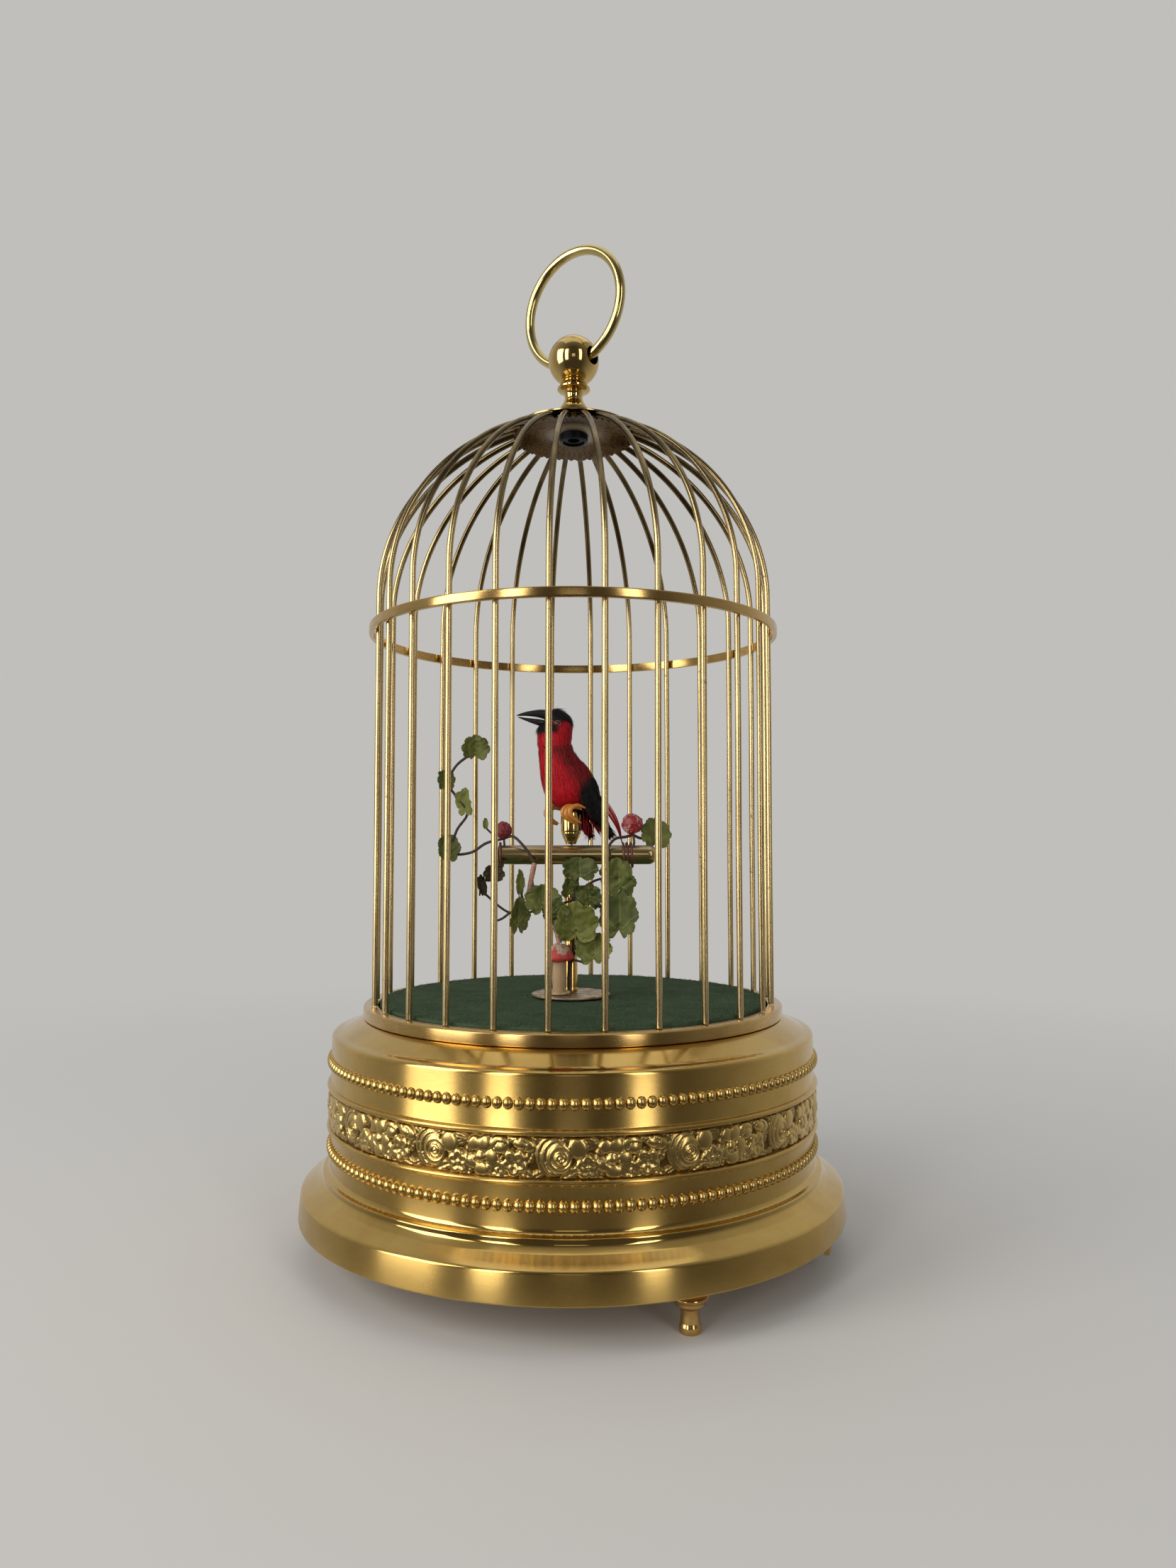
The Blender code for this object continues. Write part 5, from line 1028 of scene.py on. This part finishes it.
SPRIG_PATH = [(10.8, -4.1, -0.05), (10.4, -3.9, 2.35), (12.4, -2.4, 4.75), (15.6, -0.8, 5.35), (17.6, 0, 5.95)]
SPRIG_STALK = [(17.6, 0, 5.95), (20.5, 2.2, 4.95), (24.4, 4.6, 6.35)]
SPRIG_LEAVES = [((24.4, 4.6, 6.15), 9.5, 10.5, -8, 12)]
leaves("sprig_leaf", SPRIG_LEAVES, PERCH_LEVEL, 53, "right_sprig", leaf_cloth)
sprig_runs = [stem_run(SPRIG_PATH, PERCH_LEVEL, 0.42, 21), stem_run(SPRIG_STALK, PERCH_LEVEL, 0.42, 22)]
piece("sprig_stems", drawn_tube("sprig", sprig_runs, 12), stem_paper, replaces=["right_sprig"])

# The silk: two stalks are whipped with copper-pink silk thread, whose ends have come loose.


def draw_silk(place):
    thread = place.noise(0.2 * MM, 3.0, (3.0, 3.0, 1.0))
    colour = thread.ramp(0.3, 0.7).between((0.24, 0.105, 0.065), (0.60, 0.36, 0.25))
    return colour, 0.26 + thread * 0.2, thread * (0.04 * MM)


silk = finish("copper_pink_silk", draw_silk, 0.25)
WHIPPED = (
    ("silk_on_vine", "vine_spray", [(-13.0, -4.4, 98.6), (-12.3, -4.1, 103.0), (-11.3, -4.0, 107.9)], 0.78),
    ("silk_on_stalk", "leaf_bouquet", [(-6.6, -4.6, 90.6), (-5.0, -4.7, 88.4), (-3.9, -4.9, 84.6)], 0.8))
for name, node, path, girth in WHIPPED:
    line = flowing(path, 110)
    runs = [[(*point, girth * (0.9 + 0.16 * abs(math.sin(step * 0.30)))) for step, point in enumerate(line)]]
    luck = random.Random(len(name))
    for thread in range(16):
        start = Vector(luck.choice(line[:30] + line[-20:]))
        curl = [start]
        heading = Vector((luck.uniform(-1, 1), luck.uniform(-1, 0.1), luck.uniform(-0.8, 0.5))).normalized()
        for bend in range(5):
            heading = (heading + Vector([luck.uniform(-0.7, 0.7) for axis in range(3)])).normalized()
            curl.append(curl[-1] + heading * luck.uniform(0.4, 0.8))
        runs.append([(*point, 0.045) for point in flowing(curl, 3)])
    piece(name, drawn_tube(name, runs, 12), silk, replaces=[node], crease=60.0)

# The berries and the copper wire that ties them to the perch: the left one rough sealing wax, the
# right one crushed red foil rubbed through to cream on its facets.


def draw_wax(place):
    crust = place.noise(0.7 * MM, 4.0, rough=0.7)
    return crust.between((0.060, 0.004, 0.007), (0.25, 0.016, 0.020)), 0.38 + crust * 0.25, crust * (0.25 * MM)


def draw_foil(place):
    flakes = place.noise(2.2 * MM, 4.0, rough=0.6)
    rubbed = flakes.ramp(0.54, 0.58) * 0.75
    fine = place.noise(0.4 * MM, 3.0)
    red = fine.between((0.13, 0.004, 0.009), (0.32, 0.014, 0.022))
    return rubbed.between(red, (0.52, 0.33, 0.25)), 0.22 + fine * 0.2 + rubbed * 0.2, fine * (0.06 * MM)


def berry(name, centre, radius, facets, roughness, finish_used, node, crease):
    form = bmesh.new()
    where = Matrix.Translation(Vector((centre[0], centre[1], centre[2] + PERCH_LEVEL)) * MM)
    bmesh.ops.create_icosphere(form, subdivisions=facets, radius=radius * MM, matrix=where)
    middle = where.translation
    for corner in form.verts:
        out = (corner.co - middle).normalized()
        dent = noise.noise(out * 2.6 + Vector((radius, 0, 0))) + 0.5 * noise.noise(out * 6.0)
        corner.co += out * dent * roughness * radius * MM
    return piece(name, form, finish_used, replaces=[node], crease=crease)


berry("wax_berry", (-20.8, 0.0, 7.25), 2.5, 5, 0.13, finish("berry_wax", draw_wax), "vine_spray", 180.0)
berry("foil_berry", (17.5, 0.0, 9.15), 3.1, 3, 0.12, finish("berry_foil", draw_foil), "right_sprig", 12.0)


def draw_copper(place):
    silk = place.noise(0.14 * MM, 3.0, (1.0, 1.0, 1.0))
    return silk.between((0.045, 0.014, 0.010), (0.17, 0.062, 0.042)), 0.36 + silk * 0.25, silk * (0.03 * MM)


copper = finish("copper_tie", draw_copper, 0.4)


def tie(name, middle, berry_centre, node):
    """Three turns of wire round the perch that end in the berry above them."""
    radius = 2.85 + 0.3 + 0.36
    run = []
    for step in range(3 * 24 + 1):
        angle = 2 * math.pi * step / 24
        shift = 1.15 * (step / 24 - 3) + 0.5
        run.append((middle + shift, -radius * math.sin(angle), PERCH_LEVEL + radius * math.cos(angle), 0.36))
    x, y, z = berry_centre
    run.append((x, y, z + PERCH_LEVEL - 1.0, 0.36))
    piece(name, drawn_tube(name, [run], 12), copper, replaces=[node])


tie("left_tie", -21.0, (-20.8, 0.0, 7.25), "vine_spray")
tie("right_tie", 17.6, (17.5, 0.0, 9.15), "right_sprig")

# The bird's body: a carved form under hundreds of small dyed feathers, glued on from the tail up.
# The breast is crimson, the back goes through maroon to black wings, and orange toes hold nothing.
BIRD_SEAT = 123.8
BIRD_TURN = 35.0
BIRD = Matrix.Translation((POST_X * MM, 0.0, BIRD_SEAT * MM)) @ Matrix.Rotation(math.radians(BIRD_TURN), 4, "Z")
BIRD_SPINE = [
    (-5.8, 19.6, 4.7), (-5.3, 16.4, 5.1), (-4.0, 12.6, 6.0), (-2.6, 9.2, 6.6), (-1.2, 6.4, 6.6), (1.6, 4.0, 4.9),
    (4.8, 1.0, 3.1), (6.8, -1.2, 1.8)]
WING_SPINE = [
    (-3.4, 14.6, 1.6), (-0.8, 11.2, 3.0), (2.0, 6.8, 3.5), (4.6, 1.4, 3.1), (7.4, -3.2, 2.0), (10.0, -6.8, 0.6)]
WING_SPREAD = 5.0
SKIN_CELL = 0.5


def spine_run(spine, per_span=5):
    return [(x, 0.0, height, max(radius, 0.1)) for x, height, radius in flowing(spine, per_span)]


def skin(parts):
    """One closed skin over the parts, from a voxel remesh, in the bird's own frame."""
    form = bmesh.new()
    for part in parts:
        mesh = bpy.data.meshes.new("part")
        part.to_mesh(mesh)
        part.free()
        form.from_mesh(mesh)
        bpy.data.meshes.remove(mesh)
    mesh = bpy.data.meshes.new("skin")
    form.to_mesh(mesh)
    form.free()
    holder = bpy.data.objects.new("skin", mesh)
    scene.collection.objects.link(holder)
    voxels = holder.modifiers.new("voxels", "REMESH")
    voxels.mode = "VOXEL"
    voxels.voxel_size = SKIN_CELL * MM
    whole = bmesh.new()
    whole.from_mesh(
        bpy.data.meshes.new_from_object(holder.evaluated_get(bpy.context.evaluated_depsgraph_get())))
    bpy.data.objects.remove(holder)
    for pass_index in range(3):
        bmesh.ops.smooth_vert(
            whole, verts=whole.verts, factor=0.5, use_axis_x=True, use_axis_y=True, use_axis_z=True)
    return whole


def plumage(quills, across=1, cells=4):
    """A form with one narrow blade for each quill: bent back to the skin and, if wide, with a raised shaft."""
    form = bmesh.new()
    tint = form.verts.layers.float.new("tone")
    rows = cells + 1
    bmesh.ops.create_grid(form, x_segments=across, y_segments=len(quills) * rows - 1, size=0.5)
    form.verts.ensure_lookup_table()
    gaps = [face for face in form.faces
            if len({corner.index // (across + 1) // rows for corner in face.verts}) > 1]
    bmesh.ops.delete(form, geom=gaps, context="FACES")
    for corner in form.verts:
        row = corner.index // (across + 1)
        root, along, normal, length, width, lift, curl, tone = quills[row // rows]
        u, t = corner.co.x * 2, (row % rows) / cells
        side = along.cross(normal).normalized()
        half = 0.5 * width * (0.4 + 0.6 * math.sin(math.pi * min(1.0, 0.15 + t * 0.84)) ** 0.7) * (1.03 - t ** 5)
        rise = lift * math.sin(math.pi * 0.62 * t) + (0.10 * width) * (1 - abs(u)) * (across - 1) - curl * t * t
        corner.co = (root + along * (length * t) + side * (u * half) + normal * rise) * MM
        corner[tint] = tone
    return form


def spine_flow(point, spine):
    """Where the point is along the spine, the spine's direction there, and how far to its back."""
    best = None
    stations = [Vector((x, 0.0, height)) for x, height, radius in spine]
    for index, (a, b) in enumerate(zip(stations, stations[1:])):
        run = b - a
        t = max(0.0, min(1.0, (point - a).dot(run) / run.length_squared))
        near = a + run * t
        gap = (point - near).length
        if best is None or gap < best[0]:
            along = run.normalized()
            best = (gap, (index + t) / (len(stations) - 1), along, (point - near).dot(Vector((-along.z, 0, along.x))))
    return best[1:]


def draw_feathers(place):
    tone = place.node("Attribute", {"attribute_name": "tone"}, None, 2)
    barbs = place.noise(0.16 * MM, 3.0, (1.0, 1.0, 6.0))
    stops = [(0.0, (0.46, 0.005, 0.012)), (0.38, (0.24, 0.005, 0.009)), (0.62, (0.075, 0.010, 0.007)),
             (0.82, (0.014, 0.008, 0.008)), (1.0, (0.005, 0.005, 0.006))]
    dyed = place.node("ValToRGB", {"stops": stops}, {"Fac": tone + (barbs - 0.5) * 0.22})
    return dyed, 0.50 + barbs * 0.2, barbs * (0.04 * MM)


def body_dye(point, normal):
    """Where on the bird this is: its dye, and the way its feathers lie."""
    station, along, back = spine_flow(point, BIRD_SPINE)
    wing_station, wing_along, wing_back = spine_flow(Vector((point.x, 0, point.z)), WING_SPINE)
    on_wing = abs(point.y) > WING_SPREAD - 1.6 and wing_station > 0.03 and abs(wing_back) < 3.8
    behind = 0.857 * (point.x + 4.4) + 0.514 * (point.z - 9.85)
    under = 0.60 * (point.x + 1.3) - 0.80 * (point.z - 6.5)
    dark = max(0.0, min(1.0, (behind + 1.2) / 2.2))
    black = max(0.0, min(1.0, (under + 1.6) / 2.8))
    tone = 0.04 + dark * (0.40 + 0.54 * black) + 0.02 * max(0.0, min(2.0, behind))
    if point.x > 3.4 and point.z < 2.6:
        tone = max(tone, 0.92)
    flow = wing_along if on_wing else along
    return tone, flow - normal * flow.dot(normal), on_wing


feathers = finish("dyed_feathers", draw_feathers, Specular_IOR_Level=0.22)
random.seed(7)
body_parts = [drawn_tube("body", [spine_run(BIRD_SPINE)], 24)]
for side in (-1, 1):
    wing = drawn_tube("wing", [spine_run(WING_SPINE)], 16)
    shift = Matrix.Translation((0, side * WING_SPREAD * MM, 0)) @ Matrix.Diagonal((1, 0.42, 1, 1))
    bmesh.ops.transform(wing, verts=wing.verts, matrix=shift)
    body_parts.append(wing)
body_skin = skin(body_parts)
for corner in body_skin.verts:
    if math.hypot(corner.co.x, corner.co.y) < 3.6 * MM and corner.co.z < 0:
        corner.co.z = 0.1 * MM
strands, vanes = [], []
for face in body_skin.faces:
    middle = face.calc_center_median() / MM
    normal = face.normal
    if math.hypot(middle.x, middle.y) < 3.8 and middle.z < 1.0 or middle.z > 17.0 and normal.z > 0.3:
        continue
    tone, flow, on_wing = body_dye(middle, normal)
    if flow.length < 0.2:
        continue
    flow.normalize()
    for strand in range(3):
        root = middle + Vector([random.uniform(-0.3, 0.3) for axis in range(3)])
        sway = Matrix.Rotation(random.uniform(-0.13, 0.13), 3, normal) @ flow
        shade = max(0.0, min(1.0, tone + random.uniform(-0.1, 0.1)))
        reach = random.uniform(2.2, 3.6)
        if on_wing and tone > 0.75 and random.random() < 0.07:
            vanes.append((root, sway, normal, reach * 1.2, 1.3, 0.22, reach ** 2 / 9.0, shade))
        else:
            strands.append((root, sway, normal, reach, random.uniform(0.14, 0.26), 0.16, reach ** 2 / 13.0, shade))
for side in (-1, 1):
    for row in range(9):
        spread = row / 8
        root = Vector((2.4 + 3.2 * spread, side * (WING_SPREAD + 0.9 - 0.3 * spread), 6.5 - 5.2 * spread))
        tip_point = Vector((9.2 + 1.9 * spread, side * (WING_SPREAD - 0.6), -2.4 - 3.3 * spread))
        along = tip_point - root
        vanes.append((root, along.normalized(), Vector((0.25, side, 0.2)).normalized(), along.length, 1.7, 0.3, 0.1,
                      0.95 + random.uniform(-0.03, 0.05)))
    for barb in range(14):
        root = Vector((random.uniform(7.0, 10.2), side * (WING_SPREAD - 0.5), random.uniform(-4.6, -1.8)))
        along = Vector((random.uniform(0.15, 0.9), random.uniform(-0.2, 0.2), random.uniform(-1.1, -0.4))).normalized()
        strands.append((root, along, Vector((0.2, side, 0.1)).normalized(), random.uniform(1.6, 3.0), 0.13, 0.1, 0.0, 0.98))
for strand in range(46):
    root = Vector((random.uniform(3.0, 7.4), random.uniform(-2.6, 2.6), random.uniform(-1.6, 0.6)))
    along = Vector((random.uniform(-0.1, 0.5), random.uniform(-0.2, 0.2), -1.0)).normalized()
    red = strand % 5 < 2
    reach = random.uniform(7.4, 8.8) if red else random.uniform(3.6, 6.0)
    strands.append((root, along, Vector((0, 1, 0)), reach, 0.24, 0.1, 0.0, random.uniform(0.0, 0.25) if red else 0.95))
skin_tone = body_skin.verts.layers.float.new("tone")
body_skin.normal_update()
for corner in body_skin.verts:
    corner[skin_tone] = body_dye(corner.co / MM, corner.normal)[0]
coats = [plumage(strands), plumage(vanes, 2, 5)]
for form in (body_skin, *coats):
    bmesh.ops.transform(form, verts=form.verts, matrix=BIRD)
piece("bird_form", body_skin, feathers, replaces=["bird_body"], crease=180.0)
piece("body_feathers", coats[0], feathers, replaces=["bird_body"], crease=180.0)
piece("wing_feathers", coats[1], feathers, replaces=["bird_body"], crease=180.0)


def draw_toes(place):
    rings = place.noise(0.35 * MM, 2.0)
    return rings.between((0.34, 0.105, 0.008), (0.60, 0.25, 0.035)), 0.3 + rings * 0.15, rings * (0.06 * MM)


LEG_SPINE = [
    (0.2, -0.2, 0.35), (-2.4, 0.5, 0.9), (-4.7, -0.3, 1.1), (-5.2, -1.8, 1.15), (-4.1, -3.2, 1.0),
    (-2.5, -4.1, 0.7), (-1.2, -4.6, 0.25)]
toe_runs = []
for side in (-1, 1):
    for toe in (-1, 0, 1):
        run = []
        for step, (x, height, radius) in enumerate(flowing(LEG_SPINE, 9)):
            ringed = radius * (0.70 + 0.02 * math.sin(step * 2.3)) * (1.0 - 0.12 * abs(toe))
            run.append((x + 0.45 * toe * side, side * 5.3 + toe * 1.15, height + 0.4 * abs(toe), ringed))
        toe_runs.append(run)
toes = drawn_tube("toes", toe_runs, 12)
bmesh.ops.transform(toes, verts=toes.verts, matrix=BIRD)
piece("bird_toes", toes, finish("orange_toes", draw_toes), replaces=["bird_body"])

# The head: the same plumage on its own turning form, with a cap of black feathers, whiskers
# behind it, glass eyes in grey rings, and a horn beak whose lower half is hinged.
HEAD = Matrix.Translation((-5.6149 * MM, -3.4415 * MM, BIRD_SEAT * MM)) @ Matrix.Rotation(math.radians(11.0), 4, "Z")
HEAD_SPINE = [(-0.2, 18.2, 4.9), (0.2, 22.4, 5.0), (0.5, 25.2, 4.5), (-0.2, 27.3, 3.1), (-0.9, 28.8, 1.2)]
head_skin = skin([drawn_tube("head", [spine_run(HEAD_SPINE)], 24)])
beak_base = Vector((-4.0, 0.0, 26.6))
EYE = (0.3, 4.45, 24.75)


def head_dye(point, normal):
    """Black above the eye and round the beak, red below, with the strands combed backward."""
    black = point.z > 26.1 + 0.10 * point.x
    flow = (point - beak_base).normalized() * 0.7 + Vector((0.25, 0.0, -0.75))
    if black:
        flow = Vector((1.0, 0.0, -0.42))
    near_beak = not black and point.x < -1.2 and point.z > 24.0 + 0.5 * (point.x + 2.9)
    tone = 0.98 if black or near_beak else max(0.0, 0.05 + 0.045 * point.x)
    return tone, flow - normal * flow.dot(normal)


strands = []
for face in head_skin.faces:
    middle = face.calc_center_median() / MM
    normal = face.normal
    tone, flow = head_dye(middle, normal)
    by_eye = (Vector((middle.x, abs(middle.y), middle.z)) - Vector(EYE)).length < 1.15
    if normal.z < -0.6 or flow.length < 0.15 or by_eye:
        continue
    flow.normalize()
    for strand in range(3 if tone < 0.9 else 4):
        root = middle + Vector([random.uniform(-0.25, 0.25) for axis in range(3)])
        sway = Matrix.Rotation(random.uniform(-0.16, 0.16), 3, normal) @ flow
        reach = random.uniform(1.8, 3.0) * (1.0 if tone < 0.9 else 1.35)
        hug = reach ** 2 / (10.0 if tone < 0.9 else random.uniform(9.0, 17.0))
        strands.append((root, sway, normal, reach, random.uniform(0.13, 0.24), 0.14, hug,
                        max(0.0, min(1.0, tone + random.uniform(-0.07, 0.07)))))
for whisker in range(34):
    root = Vector((random.uniform(-2.8, 1.4), random.uniform(-2.8, 2.8), random.uniform(27.2, 28.9)))
    along = Vector((1.0, random.uniform(-0.25, 0.25), random.uniform(-0.55, -0.15))).normalized()
    strands.append((root, along, Vector((0, 0, 1)), random.uniform(3.2, 6.2), 0.13, 0.3, 0.3, 1.0))
for whisker in range(8):
    root = Vector((random.uniform(-3.0, -0.6), random.uniform(-1.8, 1.8), random.uniform(28.0, 29.3)))
    along = Vector((random.uniform(-0.8, 0.6), random.uniform(-0.3, 0.3), random.uniform(0.3, 0.8))).normalized()
    strands.append((root, along, Vector((0, 0, 1)), random.uniform(1.4, 2.6), 0.12, 0.1, 0.0, 1.0))
head_tone = head_skin.verts.layers.float.new("tone")
head_skin.normal_update()
for corner in head_skin.verts:
    corner[head_tone] = head_dye(corner.co / MM, corner.normal)[0]
crest = plumage(strands)
for form in (head_skin, crest):
    bmesh.ops.transform(form, verts=form.verts, matrix=HEAD)
piece("head_form", head_skin, feathers, body="bird_head", replaces=["bird_head"], crease=180.0)
piece("head_feathers", crest, feathers, body="bird_head", replaces=["bird_head"], crease=180.0)


def draw_horn(place):
    growth = place.noise(0.6 * MM, 3.0, (4.0, 1.0, 1.0))
    return growth.between((0.005, 0.005, 0.006), (0.020, 0.019, 0.019)), 0.26 + growth * 0.15, growth * (0.03 * MM)


horn = finish("beak_horn", draw_horn)
UPPER_BEAK = [
    (-1.4, 27.5, 1.6), (-3.6, 27.95, 1.35), (-5.6, 28.05, 1.05), (-8.5, 27.85, 0.62), (-10.4, 27.5, 0.3),
    (-11.2, 27.3, 0.1)]
LOWER_BEAK = [
    (-2.4, 25.1, 0.9), (-4.4, 25.4, 0.98), (-6.4, 25.8, 0.75), (-8.4, 26.25, 0.46), (-10.0, 26.65, 0.24),
    (-10.8, 26.85, 0.1)]
for name, spine, flat, body, node in (
        ("upper_beak", UPPER_BEAK, 0.8, "bird_head", "bird_head"),
        ("hinged_beak", LOWER_BEAK, 1.0, "lower_beak", "bird_lower_beak")):
    half = drawn_tube(name, [spine_run(spine, 6)], 20)
    bmesh.ops.transform(half, verts=half.verts, matrix=HEAD @ Matrix.Diagonal((1, flat, 1, 1)))
    piece(name, half, horn, body=body, replaces=[node])


def draw_eye(place):
    gleam = place.noise(0.5 * MM, 2.0)
    return gleam.between((0.012, 0.010, 0.009), (0.035, 0.028, 0.022)), 0.06 + gleam * 0.05, None


def draw_eyelid(place):
    wax = place.noise(0.3 * MM, 3.0)
    return wax.between((0.045, 0.030, 0.026), (0.15, 0.11, 0.09)), 0.45 + wax * 0.2, wax * (0.05 * MM)


eyes = bmesh.new()
lids = bmesh.new()
for side in (-1, 1):
    seat = HEAD @ Matrix.Translation((EYE[0] * MM, side * EYE[1] * MM, EYE[2] * MM))
    bmesh.ops.create_uvsphere(eyes, u_segments=24, v_segments=16, radius=0.66 * MM, matrix=seat)
    lid = bmesh.new()
    ring = bmesh.ops.create_circle(
        lid, segments=12, radius=0.2 * MM,
        matrix=Matrix.Translation((0.78 * MM, 0, 0)) @ Matrix.Rotation(math.radians(90.0), 4, "X"))["verts"]
    bmesh.ops.spin(
        lid, geom=ring + lid.edges[:], cent=(0, 0, 0), axis=(0, 0, 1), angle=2 * math.pi, steps=28, use_merge=True)
    facing = Matrix.Translation((0, side * 0.25 * MM, 0)) @ Matrix.Rotation(math.radians(90.0), 4, "X")
    bmesh.ops.transform(lid, verts=lid.verts, matrix=seat @ facing)
    bmesh.ops.recalc_face_normals(lid, faces=lid.faces)
    ring_mesh = bpy.data.meshes.new("lid")
    lid.to_mesh(ring_mesh)
    lid.free()
    lids.from_mesh(ring_mesh)
piece("glass_eyes", eyes, finish("glass_eye", draw_eye, Coat_Weight=0.6), body="bird_head",
      replaces=["bird_head"])
piece("eye_rings", lids, finish("eye_ring_wax", draw_eyelid), body="bird_head", replaces=["bird_head"])

# The tail: long stiff feathers fanned on a hinged flat, black over red, with one red feather that
# has slipped to the right.
TAIL = BIRD @ Matrix.Translation((6.9 * MM, 0, -0.7 * MM)) @ Matrix.Rotation(math.radians(47.0), 4, "Y")
vanes, barbs = [], []
up = Vector((0, 0, 1))
for layer, (lift, tone) in enumerate(((0.5, 0.92), (0.1, 0.90), (-0.3, 0.08))):
    for quill in range(7):
        swing = math.radians((quill - 3) * 5.5 + random.uniform(-1.5, 1.5))
        root = Vector((0.2, (quill - 3) * 0.36, lift))
        along = Vector((math.cos(swing), math.sin(swing), 0.0))
        vanes.append((root, along, up, random.uniform(8.6, 11.0), 1.5, 0.25, 0.2, tone + random.uniform(-0.05, 0.08)))
for barb in range(60):
    swing = math.radians(random.uniform(-26, 26))
    root = Vector((random.uniform(3.0, 8.0), random.uniform(-1.9, 1.9), random.uniform(-0.3, 0.5)))
    along = Vector((math.cos(swing), math.sin(swing), random.uniform(-0.16, 0.1)))
    barbs.append((root, along, up, random.uniform(2.4, 4.4), 0.16, 0.05, 0.0, random.uniform(0.0, 0.3)))
fan = [plumage(vanes, 2, 8), plumage(barbs)]
for form in fan:
    bmesh.ops.transform(form, verts=form.verts, matrix=TAIL)
piece("tail_feathers", fan[0], feathers, body="bird_tail", replaces=["bird_tail"], crease=180.0)
piece("tail_barbs", fan[1], feathers, body="bird_tail", replaces=["bird_tail"], crease=180.0)

# The slipped feather, curved out past the wing: a bundle of long barbs side by side.
SLIPPED = [(5.4, -1.6, 4.2), (9.6, -1.8, 2.6), (13.4, -1.6, -1.0), (16.4, -1.2, -5.2), (18.2, -1.0, -10.0)]
slipped = bmesh.new()
slip_tone = slipped.verts.layers.float.new("tone")
line = flowing(SLIPPED, 6)
for barb in range(13):
    lane = (barb - 6) / 6
    strip = bmesh.ops.create_grid(slipped, x_segments=1, y_segments=len(line) - 1, size=0.5)["verts"]
    for index, corner in enumerate(strip):
        step = index // 2
        t = step / (len(line) - 1)
        broad = 1.35 * math.sin(math.pi * min(1.0, 0.2 + 0.85 * t)) ** 0.8
        ahead = (line[min(step + 1, len(line) - 1)] - line[max(step - 1, 0)]).normalized()
        side = Vector((-ahead.z, 0.15, ahead.x)).normalized()
        wave = 0.12 * math.sin(3.0 * t + barb)
        corner.co = (line[step] + side * (lane * broad + corner.co.x * 0.26 + wave)) * MM
        corner[slip_tone] = 0.10 + 0.10 * (barb % 3)
bmesh.ops.transform(slipped, verts=slipped.verts, matrix=BIRD)
piece("slipped_feather", slipped, feathers, body="bird_tail", replaces=["bird_tail"], crease=180.0)
